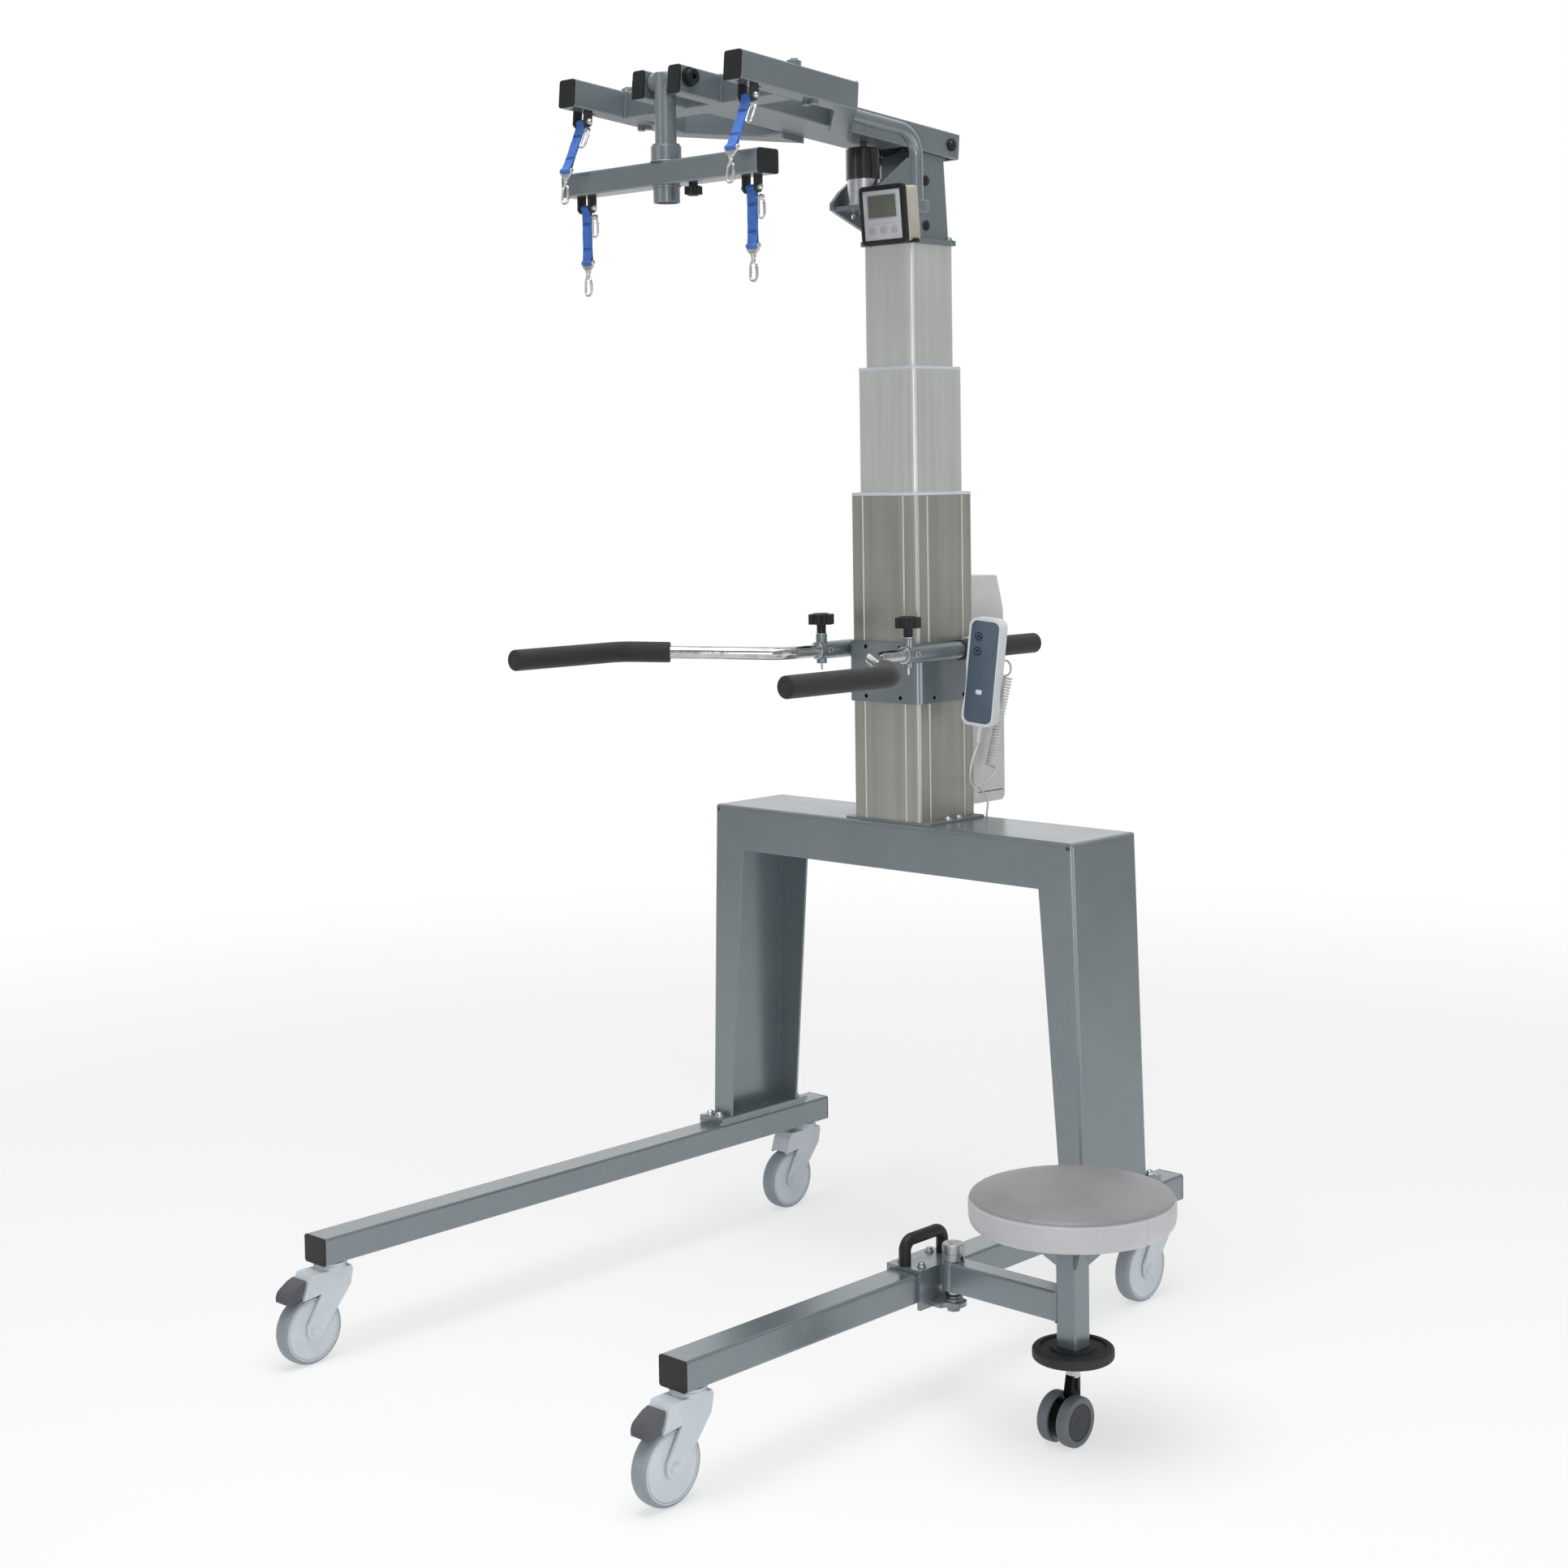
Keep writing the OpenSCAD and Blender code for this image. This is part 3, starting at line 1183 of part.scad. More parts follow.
// Cords: a tube along a smooth line through these places, in millimetres
cord_start = set_place([0, 0, -set_h / 2 - relief_l]);
cord_dir = (set_place([0, 0, -10]) - set_place([0, 0, 0])) / 10;
cord_loop = [[147, 101, 1018], [142, 100, 990], [134, 112, 970], [122, 140, 960], [112, 180, 964],
    [105, 218, 976], [97, 236, 985]];
curl_from = [84, 232, 990];
curl_to = [81, 297, 1162];
cord_end = [cord_gland[0] + 8, cord_gland[1], cord_gland[2]];
lead_start = [lead_gland[0] + 6, lead_gland[1], lead_gland[2]];
lead_grommet = [110, 189, arch_top - sheet - 4];
lead_line = [lead_start, lead_start + [5, 0, 0], [80, 206, 946], [100, 203, 928], [109, 193, 914],
    [110, 189, 902], lead_grommet + [0, 0, 5], lead_grommet];
function unit(v) = v / norm(v);
function spline(p, i, t) = let(a = p[max(i - 1, 0)], b = p[i], c = p[i + 1], d = p[min(i + 2, len(p) - 1)])
    0.5 * (2 * b + (c - a) * t + (2 * a - 5 * b + 4 * c - d) * t * t + (3 * b - 3 * c + d - a) * t * t * t);
function smooth(p, n) = [for (i = [0 : len(p) - 2], k = [0 : n - 1]) spline(p, i, k / n), p[len(p) - 1]];
curl_axis = unit(curl_to - curl_from);
curl_u = unit(cross(curl_axis, [1, 0, 0]));
curl_v = cross(curl_axis, curl_u);
// Places along the curls, eight to a turn; the cord runs in and out along the turns
curl_steps = 8 * curls + 4;
function curl_place(k) = curl_from + (curl_to - curl_from) * k / curl_steps
    + curl_d / 2 * (curl_u * cos(45 * k) + curl_v * sin(45 * k));
curl_line = [for (k = [0 : curl_steps]) curl_place(k)];
cord_line = concat(
    smooth(concat([cord_start, cord_start + 6 * cord_dir], cord_loop), 3), curl_line,
    smooth([[88.5, 290, 1167], [93, 290.5, 1176], [91, 291.5, 1187], [83, 292, 1194], cord_end + [9, 0, 0],
        cord_end + [4, 0, 0], cord_end], 2));
function tangents(p) = [for (i = [0 : len(p) - 1])
    unit(p[min(i + 1, len(p) - 1)] - p[max(i - 1, 0)])];
function carried(t, i, n, acc) = i == len(t) ? acc :
    let(m = unit(n - (n * t[i]) * t[i])) carried(t, i + 1, m, concat(acc, [m]));
module cord(p, d, sides) {
    t = tangents(p);
    n = carried(t, 0, abs(t[0][0]) < 0.8 ? [1, 0, 0] : [0, 1, 0], []);
    m = len(p);
    rings = [for (i = [0 : m - 1], k = [0 : sides - 1]) let(a = 360 * k / sides)
        p[i] + d / 2 * (n[i] * cos(a) + cross(t[i], n[i]) * sin(a))];
    walls = [for (i = [0 : m - 2], k = [0 : sides - 1], h = [0, 1]) let(j = (k + 1) % sides)
        h == 0 ? [i * sides + k, (i + 1) * sides + k, (i + 1) * sides + j]
            : [i * sides + k, (i + 1) * sides + j, i * sides + j]];
    polyhedron(rings, concat([[for (k = [0 : sides - 1]) k]],
        walls, [[for (k = [sides - 1 : -1 : 0]) (m - 1) * sides + k]]));
}
module handset_cord() { color("#e4e5e6") gantry() cord(cord_line, cord_d, 6); }
module power_lead() { color("#e4e5e6") gantry() cord(smooth(lead_line, 2), cord_d, 8); }
curl_gap = min([for (i = [0 : 8 * curls - 8], j = [i + 5 : min(i + 20, 8 * curls - 2)])
    norm(curl_line[i] - curl_line[j])]) - cord_d;
echo(least_gap_between_curls = curl_gap);

// Stool: carriage on the right rail, drawn about its hinge pin where it swings
plate_z = rail_top + gap;
side_in = rail_x + rail_w / 2 + gap;
arm_top = arm_z + arm_h;
knuckle_d = 37;
knuckle_h = 28;
module carriage() {
    color(paint) gantry() {
        translate([rail_x - rail_w / 2 - gap - carriage_t, stool_y - carriage_l / 2, plate_z])
            cube([rail_w + 2 * gap + 2 * carriage_t, carriage_l, carriage_t]);
        translate([side_in, stool_y - carriage_l / 2, rail_low - 10]) cube([carriage_t, carriage_l, rail_h + 10 + weld]);
        translate([rail_x - rail_w / 2 - gap - carriage_t, stool_y - carriage_l / 2, rail_low + 6])
            cube([carriage_t, carriage_l, rail_h - 6 + weld]);
        translate([0, 0, rail_low - gap - 8]) linear_extrude(8) difference() {
            union() {
                translate([rail_x + 14, stool_y - 30]) square([hinge_x - rail_x - 14, 60]);
                translate([hinge_x, stool_y]) circle(22);
            }
            for (s = [-1, 1]) translate([hinge_x + 14, stool_y + s * 36]) circle(20);
        }
        translate([hinge_x, stool_y, rail_low - gap - weld]) {
            cylinder(d = hinge_d, h = arm_top - rail_low + 2 * gap + 2 * weld);
            cylinder(d = hinge_d + 8, h = arm_z - rail_low + weld);
            cylinder(d = hinge_d + 14, h = 5);
        }
        translate([hinge_x, stool_y, arm_top + gap]) difference() {
            cylinder(d = knuckle_d, h = knuckle_h);
            translate([-1, -knuckle_d / 2 - past, knuckle_h - 20]) cube([2, knuckle_d / 2, 30]);
            translate([knuckle_d / 2 - 9, -4, 9]) cube([20, 8, 8]);
        }
        translate([hinge_x, stool_y, rail_low - gap - 17]) cylinder(d = 24, h = 10, $fn = 6);
        for (s = [-1, 1], x = [-22, 22]) translate([rail_x + x, stool_y + s * (carriage_l / 2 - 22), plate_z + carriage_t - weld])
            dome_bolt(7);
    }
}
grab_x = rail_x - 4;
grab_half = 49;
grab_r = 18;
module grab_handle() {
    top = grab_h - grab_d / 2;
    color(paint) gantry() translate([grab_x, stool_y, plate_z + carriage_t]) {
        for (s = [-1, 1]) translate([0, s * grab_half, 0]) {
            cylinder(d = grab_d, h = top - grab_r);
        }
        translate([0, -grab_half + grab_r, top]) along_y(grab_d, 2 * (grab_half - grab_r));
        for (s = [0, 1]) mirror([0, s, 0]) translate([0, grab_half - grab_r, top - grab_r]) rotate([90, 0, 90])
            rotate_extrude(angle = 90) translate([grab_r, 0]) circle(d = grab_d);
    }
}
bush_d = 38;
stem = 12;
post_low = disc_z + disc_t;
module stool_frame() {
    color(paint) gantry() {
        difference() {
            union() {
                translate([hinge_x, stool_y, arm_z]) cylinder(d = bush_d, h = arm_h);
                translate([hinge_x + 10, stool_y, arm_z + arm_h / 2]) rotate([90, 0, 90])
                    linear_extrude(arm_l - 10 - post_w / 2 + weld) tube_outline(post_w, arm_h, 3, 4);
            }
            translate([hinge_x, stool_y, rail_low]) cylinder(d = hinge_d + 2 * run, h = 100);
        }
        difference() {
            union() {
                translate([stool_x, stool_y, post_low]) linear_extrude(seat_z - 8 - post_low + weld)
                    tube_outline(post_w, post_w, 3, 4);
                translate([stool_x, stool_y, post_low]) linear_extrude(34) round_square(post_w - 2, post_w - 2, 3);
            }
            translate([stool_x, stool_y, post_low - past]) cylinder(d = stem + 2 * run, h = 30);
        }
        translate([stool_x, stool_y, seat_z - 8]) cylinder(d = 0.6 * seat_d, h = 8);
        for (a = [0, 90, 180, 270]) translate([stool_x, stool_y, seat_z - 8]) rotate([0, 0, a + 45])
            rotate([90, 0, 0]) linear_extrude(5, center = true)
            polygon([[20, 0.5], [80, 0.5], [80, -4], [26, -50], [20, -50]]);
    }
}
// Seat: welted lower edge, sewn top seam, crowned top
module seat_cushion() {
    r = seat_d / 2;
    top = seat_t - 9;
    color(vinyl) gantry() translate([stool_x, stool_y, seat_z]) rotate_extrude($fn = 96) {
        polygon(concat([[0, 0], [r - 5, 0]],
            [for (a = [-70 : 10 : 0]) [r - 5 + 5 * cos(a), 5 + 5 * sin(a)]],
            [[r - 1, seat_t * 0.35], [r - 1, seat_t * 0.6], [r - 0.4, top - 3], [r - 2.5, top], [r - 1.6, top + 2]],
            [for (a = [10 : 10 : 80]) [r - 10 + 8.4 * cos(a), top + 2 + 6.5 * sin(a)]],
            [for (k = [1 : 8]) let(q = 1 - k / 8) [(r - 10) * q, seat_t + seat_crown * (1 - q * q)]]));
    }
}
module bumper_disc() {
    color(black) gantry() translate([stool_x, stool_y, disc_z]) rotate_extrude() difference() {
        union() {
            translate([stem / 2 + 1, 0]) square([disc_d / 2 - 6 - stem / 2 - 1, disc_t]);
            translate([disc_d / 2 - 7, 6]) square([7, disc_t - 12]);
            for (z = [6, disc_t - 6]) translate([disc_d / 2 - 6, z]) circle(6);
        }
        translate([disc_d / 2 - 30, disc_t - 3]) square([18, 5]);
    }
}
hub_w = twin_gap - 2;
module stool_fork() {
    color(black) gantry() translate([stool_x, stool_y, 0]) difference() {
        union() {
            translate([0, -twin_trail, twin_d / 2]) along_x(twin_d - 8, hub_w);
            cylinder_from(twin_d / 2, disc_z - gap, 13);
            cylinder_from(twin_d + 3, disc_z - 30, 18);
            cylinder_from(disc_z - 31, disc_z - gap, 20);
            cylinder_from(disc_z - past, disc_z + disc_t + 26, stem);
            rotate([90, 0, 90]) linear_extrude(hub_w, center = true)
                polygon([[-20, twin_d / 2 + 30], [9, twin_d / 2 + 10], [9, disc_z - 14], [-9, disc_z - 14]]);
        }
        translate([0, -twin_trail, twin_d / 2]) along_x(axle_d + 2 * run, hub_w + 2);
    }
}
module stool_wheels() {
    color(black) gantry() translate([stool_x, stool_y - twin_trail, twin_d / 2]) {
        along_x(axle_d, twin_gap + 2 * twin_w - 4);
        for (s = [-1, 1]) translate([s * (twin_gap + twin_w) / 2, 0, 0]) rotate([0, 90, 0]) rotate_extrude() {
            translate([0, -twin_w / 2]) square([twin_d / 2 - 12, twin_w - 6]);
            translate([twin_d / 2 - 13, -twin_w / 2]) square([9, twin_w]);
            translate([twin_d / 2 - 5, -twin_w / 2 + 4]) square([5, twin_w - 8]);
            for (v = [-1, 1]) translate([twin_d / 2 - 4, v * (twin_w / 2 - 4)]) circle(4);
        }
    }
}

side_rails();
rail_plugs();
arch();
frame_bolts();
fork_fl();
fork_fr();
fork_rl();
fork_rr();
wheel_fl();
wheel_fr();
wheel_rl();
wheel_rr();
pedal_fl();
pedal_fr();
column_outer();
column_mid();
column_inner();
guide_ring_outer();
guide_ring_mid();
lift_drive();
head_bracket();
boom_frame();
frame_plugs();
boom_pins();
spring_body();
spring_sleeve();
hanger_tube();
lift_bar();
bar_plugs();
bar_knob();
strap_ul();
strap_ur();
strap_ll();
strap_lr();
hook_ul();
hook_ur();
hook_ll();
hook_lr();
display_housing();
collar();
rear_sleeves();
handlebar_left();
handlebar_right();
grip_left();
grip_right();
clamp_knob_left();
clamp_knob_right();
control_box();
handset();
handset_up_key();
handset_down_key();
handset_cord();
power_lead();
carriage();
grab_handle();
stool_frame();
seat_cushion();
bumper_disc();
stool_fork();
stool_wheels();
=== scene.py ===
import math

import bmesh
import bpy
from mathutils import Matrix, Vector
from mathutils.bvhtree import BVHTree


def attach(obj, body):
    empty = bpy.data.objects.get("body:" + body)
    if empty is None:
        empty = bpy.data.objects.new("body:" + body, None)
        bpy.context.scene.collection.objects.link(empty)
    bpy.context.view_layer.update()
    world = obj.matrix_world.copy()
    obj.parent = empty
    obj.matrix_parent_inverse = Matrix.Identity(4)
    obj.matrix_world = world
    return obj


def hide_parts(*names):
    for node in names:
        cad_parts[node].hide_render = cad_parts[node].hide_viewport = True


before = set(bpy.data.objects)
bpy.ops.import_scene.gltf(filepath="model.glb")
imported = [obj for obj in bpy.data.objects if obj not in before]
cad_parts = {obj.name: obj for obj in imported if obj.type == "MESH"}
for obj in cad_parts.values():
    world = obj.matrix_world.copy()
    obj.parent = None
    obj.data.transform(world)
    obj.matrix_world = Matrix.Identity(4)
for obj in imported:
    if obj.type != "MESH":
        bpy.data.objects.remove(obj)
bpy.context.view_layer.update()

# The view: from the open ends of the rails, on the stool's side, at eye height.
# The lens and the small shift are worked out for a frame of 1932 by 1932.
MIDDLE = Vector((227, -380.25, 0))


def at(x, y, z):
    """A place in the gantry's own millimetres, in the row frame."""
    return (Vector((x, y, z)) - MIDDLE) / 1000


yaw, pitch, roll = (math.radians(a) for a in (43.257, -3.158, -0.833))
ahead = Vector((-math.sin(yaw) * math.cos(pitch), math.cos(yaw) * math.cos(pitch), math.sin(pitch)))
level = Vector((math.cos(yaw), math.sin(yaw), 0))
above = level.cross(ahead)
right = level * math.cos(roll) + above * math.sin(roll)
upward = above * math.cos(roll) - level * math.sin(roll)
FRAME, FOCUS, AXIS_X, AXIS_Y = 1932, 3031.006, 988.594, 752.595
EYE = at(3154.024, -3568.603, 1572.036)
lens = bpy.data.cameras.new("photo_lens")
lens.sensor_width = 36
lens.lens = 36 * FOCUS / FRAME
lens.shift_x = (FRAME / 2 - AXIS_X) / FRAME
lens.shift_y = (AXIS_Y - FRAME / 2) / FRAME
lens.clip_end = 60
camera = bpy.data.objects.new("photo_camera", lens)
turned_to = Matrix((right, upward, -ahead)).transposed().to_4x4()
camera.matrix_world = Matrix.Translation(EYE) @ turned_to
bpy.context.scene.collection.objects.link(camera)
bpy.context.scene.camera = camera
bpy.context.scene.view_settings.view_transform = "Standard"


# The studio: a pale seamless floor that runs out to white, one broad soft box above,
# weaker ones on the sides and by the camera, an even surround and a white wall behind.
class Finish:
    """A socket of one finish's node tree. Sums on it add Math nodes to the tree."""

    def __init__(self, tree, socket=None):
        self.tree = tree
        self.socket = socket

    def node(self, kind, settings=None, values=None, out=0):
        made = self.tree.nodes.new("ShaderNode" + kind)
        for name, value in (settings or {}).items():
            if name == "stops":
                stops = made.color_ramp.elements
                for place, shade in value[1:-1]:
                    stops.new(place)
                for stop, (place, shade) in zip(stops, value):
                    stop.position = place
                    stop.color = shade
            else:
                setattr(made, name, value)
        for name, value in (values or {}).items():
            if isinstance(value, Finish):
                self.tree.links.new(value.socket, made.inputs[name])
            else:
                made.inputs[name].default_value = value
        return Finish(self.tree, made.outputs[out] if made.outputs else None)

    def sum(self, how, first, second):
        return self.node("Math", {"operation": how}, {0: first, 1: second})

    def __add__(self, other):
        return self.sum("ADD", self, other)

    def __radd__(self, other):
        return self.sum("ADD", other, self)

    def __sub__(self, other):
        return self.sum("SUBTRACT", self, other)

    def __rsub__(self, other):
        return self.sum("SUBTRACT", other, self)

    def __mul__(self, other):
        return self.sum("MULTIPLY", self, other)

    def __rmul__(self, other):
        return self.sum("MULTIPLY", other, self)

    def __gt__(self, other):
        return self.sum("GREATER_THAN", self, other)

    def __lt__(self, other):
        return self.sum("LESS_THAN", self, other)

    def between(self, low, high):
        """0 below low, 1 above high, and smooth from one to the other."""
        return self.node("MapRange", {"interpolation_type": "SMOOTHSTEP"}, {"Value": self, 1: low, 2: high})

    def mix(self, first, second):
        """The colour first where self is 0, second where it is 1."""
        return self.node("Mix", {"data_type": "RGBA"}, {0: self, 6: first, 7: second}, out=2)


def shade(r, g, b):
    """A colour as the eye reads it, 0 to 255, in linear light."""
    return tuple(((c / 255 + 0.055) / 1.055) ** 2.4 if c > 10 else c / 3294.6 for c in (r, g, b)) + (1,)


def new_finish(name):
    """An empty finish, its node maker and the place on the surface."""
    finish = bpy.data.materials.new(name)
    finish.use_nodes = True
    finish.node_tree.nodes.clear()
    f = Finish(finish.node_tree)
    return finish, f, f.node("TexCoord", out="Object")


floor_finish, f, where = new_finish("studio_floor")
away = f.node("VectorMath", {"operation": "LENGTH"}, {0: where}, out="Value").between(1.5, 5.5)
ray = f.node("LightPath", out="Is Camera Ray")
gloss_ray = f.node("LightPath", out="Is Glossy Ray")
paper = f.node("BsdfDiffuse", {}, {"Color": shade(250, 250, 250)})
glow = f.node("Emission", {}, {"Color": (1, 1, 1, 1), "Strength": 1.0})
shown = f.sum("MAXIMUM", (away * 0.4 + 0.6) * ray, (1 - away) * 0.7 * gloss_ray)
lit = f.node("MixShader", {}, {0: shown, 1: paper, 2: glow})
f.node("OutputMaterial", {}, {"Surface": lit})
bm = bmesh.new()
bmesh.ops.create_circle(bm, cap_ends=True, segments=64, radius=14)
floor_mesh = bpy.data.meshes.new("floor")
bm.to_mesh(floor_mesh)
bm.free()
floor_mesh.materials.append(floor_finish)
floor = bpy.data.objects.new("floor", floor_mesh)
bpy.context.scene.collection.objects.link(floor)

surround = bpy.data.worlds.new("studio_surround")
surround.use_nodes = True
surround.node_tree.nodes.clear()
w = Finish(surround.node_tree)
heading = w.node("TexCoord", out="Generated")
WALL_SIDE = (-0.685, 0.728, 0.0)
facing = w.node("VectorMath", {"operation": "DOT_PRODUCT"}, {0: heading, 1: WALL_SIDE}, out="Value")
wall = facing.between(0.2, 0.8)
clear_ray = w.node("LightPath", out="Is Transmission Ray")
seen = w.sum("MAXIMUM", w.node("LightPath", out="Is Camera Ray"), clear_ray)
seen = w.sum("MAXIMUM", seen, w.node("LightPath", out="Is Glossy Ray") * wall)
even = w.node("Background", {}, {"Color": (1, 1, 1, 1), "Strength": 0.4})
white = w.node("Background", {}, {"Color": (1, 1, 1, 1), "Strength": 1.0})
w.node("OutputWorld", {}, {"Surface": w.node("MixShader", {}, {0: seen, 1: even, 2: white})})
bpy.context.scene.world = surround


def soft_box(name, place, aim, width, height, power):
    lamp = bpy.data.lights.new(name, "AREA")
    lamp.shape = "RECTANGLE"
    lamp.size, lamp.size_y = width, height
    lamp.energy = power
    obj = bpy.data.objects.new(name, lamp)
    way = Vector(aim) - Vector(place)
    obj.matrix_world = Matrix.Translation(place) @ way.to_track_quat("-Z", "Y").to_matrix().to_4x4()
    bpy.context.scene.collection.objects.link(obj)


soft_box("stool_side_light", (4.2, 0.6, 0.9), (0, 0, 0.5), 2.6, 1.6, 22)
soft_box("front_light", (-1.4, -4.2, 2.4), (0, 0, 1.1), 2.0, 2.0, 8)
soft_box("camera_side_light", (3.5, -3.8, 1.3), (0, 0, 1.1), 1.0, 2.4, 40)
soft_box("top_light", (0.2, -0.6, 4.6), (0, 0, 0), 3.0, 3.0, 128)


# Rails, arch, bracket, boom, hanger and stool frame: welded steel tube and folded
# sheet under one grey metallic stoved paint, with a faint orange peel.
def noise(f, where, scale, detail=2.0, rough=0.5):
    return f.node("TexNoise", {}, {"Vector": where, "Scale": scale, "Detail": detail, "Roughness": rough})


def patches(f, where, scale, low, high):
    """Soft patches over a surface, 0 to 1."""
    return noise(f, where, scale, 4.0, 0.6).between(low, high)


def bumpy(f, height, strength, depth, under=None):
    values = {"Height": height, "Strength": strength, "Distance": depth}
    if under:
        values["Normal"] = under
    return f.node("Bump", {}, values)


def surface(f, values):
    """Closes a finish with one principled surface."""
    f.node("OutputMaterial", {}, {"Surface": f.node("BsdfPrincipled", {}, values)})


def round_edge(f, radius):
    """A softened edge for the light to catch."""
    return f.node("Bevel", {"samples": 4}, {"Radius": radius})


def paint_finish(name, low, high):
    finish, f, where = new_finish(name)
    flake = noise(f, where, 1900.0, 1.0).between(0.35, 0.68)
    cloud = patches(f, where, 5.0, 0.35, 0.7)
    peel = noise(f, where, 420.0)
    tint = (flake * 0.7 + cloud * 0.3).mix(low, high)
    normal = bumpy(f, peel, 0.10, 0.0004, round_edge(f, 0.002))
    surface(f, {"Base Color": tint, "Metallic": 0.6, "Roughness": cloud * 0.08 + 0.25,
                "Coat Weight": 0.25, "Coat Roughness": 0.18, "Normal": normal})
    return finish


paint = paint_finish("grey_paint", shade(122, 131, 136), shade(140, 149, 154))


def dress(finish, *names):
    """Gives CAD nodes, whose shapes are right, their finish."""
    for name in names:
        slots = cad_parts[name].data.materials
        slots.clear()
        slots.append(finish)


dress(paint, "side_rails", "arch", "head_bracket", "boom_frame", "hanger_tube", "lift_bar",
      "collar", "carriage", "stool_frame")


# Plugs in the open tube ends, knobs, pins and the grab handle: black nylon, moulded
# with a fine spark texture and pressed or screwed in.
def moulded_finish(name, low, high, rough, grain=900.0, dent=0.12):
    finish, f, where = new_finish(name)
    speck = noise(f, where, grain)
    cloud = patches(f, where, 14.0, 0.35, 0.7)
    tint = (cloud * 0.7 + speck * 0.3).mix(low, high)
    normal = bumpy(f, speck, dent, 0.0004, round_edge(f, 0.0009))
    surface(f, {"Base Color": tint, "Roughness": cloud * 0.1 + rough, "Specular IOR Level": 0.4,
                "Normal": normal})
    return finish


black_nylon = moulded_finish("black_nylon", shade(18, 19, 20), shade(29, 30, 31), 0.42)
dress(black_nylon, "rail_plugs", "frame_plugs", "bar_plugs", "boom_pins", "bar_knob",
      "clamp_knob_left", "clamp_knob_right", "grab_handle", "lift_drive")


# Bolts of the feet and the column base: domed heads, zinc plated. The collar's socket
# screws sit flush in their holes and are blacked.
def plated_finish(name, low, high, rough, dent=0.05, edge=0.0006, black_above=None, black_below=None):
    finish, f, where = new_finish(name)
    cloud = patches(f, where, 60.0, 0.3, 0.75)
    normal = bumpy(f, noise(f, where, 1400.0), dent, 0.0003, round_edge(f, edge) if edge else None)
    tint = cloud.mix(low, high)
    if black_above or black_below:
        height = f.node("SeparateXYZ", {}, {0: where}, out="Z")
        blacked = height > black_above if black_above else height < black_below
        tint = blacked.mix(tint, shade(22, 22, 23))
    surface(f, {"Base Color": tint, "Metallic": 1.0, "Roughness": cloud * 0.1 + rough, "Normal": normal})
    return finish


bolt_zinc = plated_finish("bolt_zinc", shade(196, 199, 202), shade(224, 227, 230), 0.24, black_above=1.1)
dress(bolt_zinc, "frame_bolts")
zinc = plated_finish("zinc_plate", shade(190, 193, 196), shade(220, 223, 226), 0.26)
dress(zinc, "spring_body")

# Casters: a pale nylon fork on a swivel ring, a pale wheel disc with a softer grey
# tyre moulded on, and on the front pair a dark toe pedal for the brake.
WHEEL_R, TRAIL = 62.5, 50
CASTER_X, CASTER_FRONT, CASTER_BACK = 462, -990, 250
LAID = Matrix.Rotation(math.pi / 2, 4, "Z")
UPRIGHT = Matrix.Rotation(-math.pi / 2, 4, "Y")
HANGING = Matrix.Rotation(math.pi / 2, 4, "Y")
pale_nylon = moulded_finish("pale_nylon", shade(196, 204, 210), shade(210, 217, 222), 0.38)
tyre_rubber = moulded_finish("grey_tyre", shade(138, 147, 154), shade(154, 163, 170), 0.5)
pedal_nylon = moulded_finish("pedal_nylon", shade(74, 77, 82), shade(90, 93, 98), 0.4)
dress(pale_nylon, "fork_fl", "fork_fr", "fork_rl", "fork_rr", "guide_ring_outer", "guide_ring_mid")


def turned(profile, steps, closed=True):
    """A turned shape about X: profile is (along, radius) in millimetres."""
    bm = bmesh.new()
    ring = [bm.verts.new((along / 1000, 0, radius / 1000)) for along, radius in profile]
    edges = [bm.edges.new(pair) for pair in zip(ring, ring[1:])]
    if closed:
        edges.append(bm.edges.new((ring[-1], ring[0])))
    bmesh.ops.spin(bm, geom=ring + edges, axis=(1, 0, 0), cent=(0, 0, 0), angle=math.tau,
                   steps=steps, use_merge=True)
    bmesh.ops.remove_doubles(bm, verts=bm.verts, dist=1e-6)
    bmesh.ops.recalc_face_normals(bm, faces=bm.faces)
    return bm


def piece(name, bm, finish, body, slot, *nodes, sharp=0.6):
    """A finished mesh piece that rides on a body and stands for some CAD nodes."""
    for face in bm.faces:
        face.smooth = True
    for edge in bm.edges:
        edge.smooth = len(edge.link_faces) == 2 and edge.calc_face_angle(0) < sharp
    mesh = bpy.data.meshes.new(name)
    bm.to_mesh(mesh)
    bm.free()
    mesh.materials.append(finish)
    obj = bpy.data.objects.new(name, mesh)
    bpy.context.scene.collection.objects.link(obj)
    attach(obj, body)
    if nodes:
        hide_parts(*nodes)
    return obj


def put(bm, spot, lay=Matrix.Identity(4)):
    """A shape moved to a spot: as it is, laid along Y, upright or hanging."""
    bm.transform(Matrix.Translation(spot) @ lay)
    return bm


def pushed(bm, face, way):
    """A face drawn out by a way."""
    grown = bmesh.ops.extrude_face_region(bm, geom=[face])
    moved = [v for v in grown["geom"] if isinstance(v, bmesh.types.BMVert)]
    bmesh.ops.translate(bm, verts=moved, vec=way)


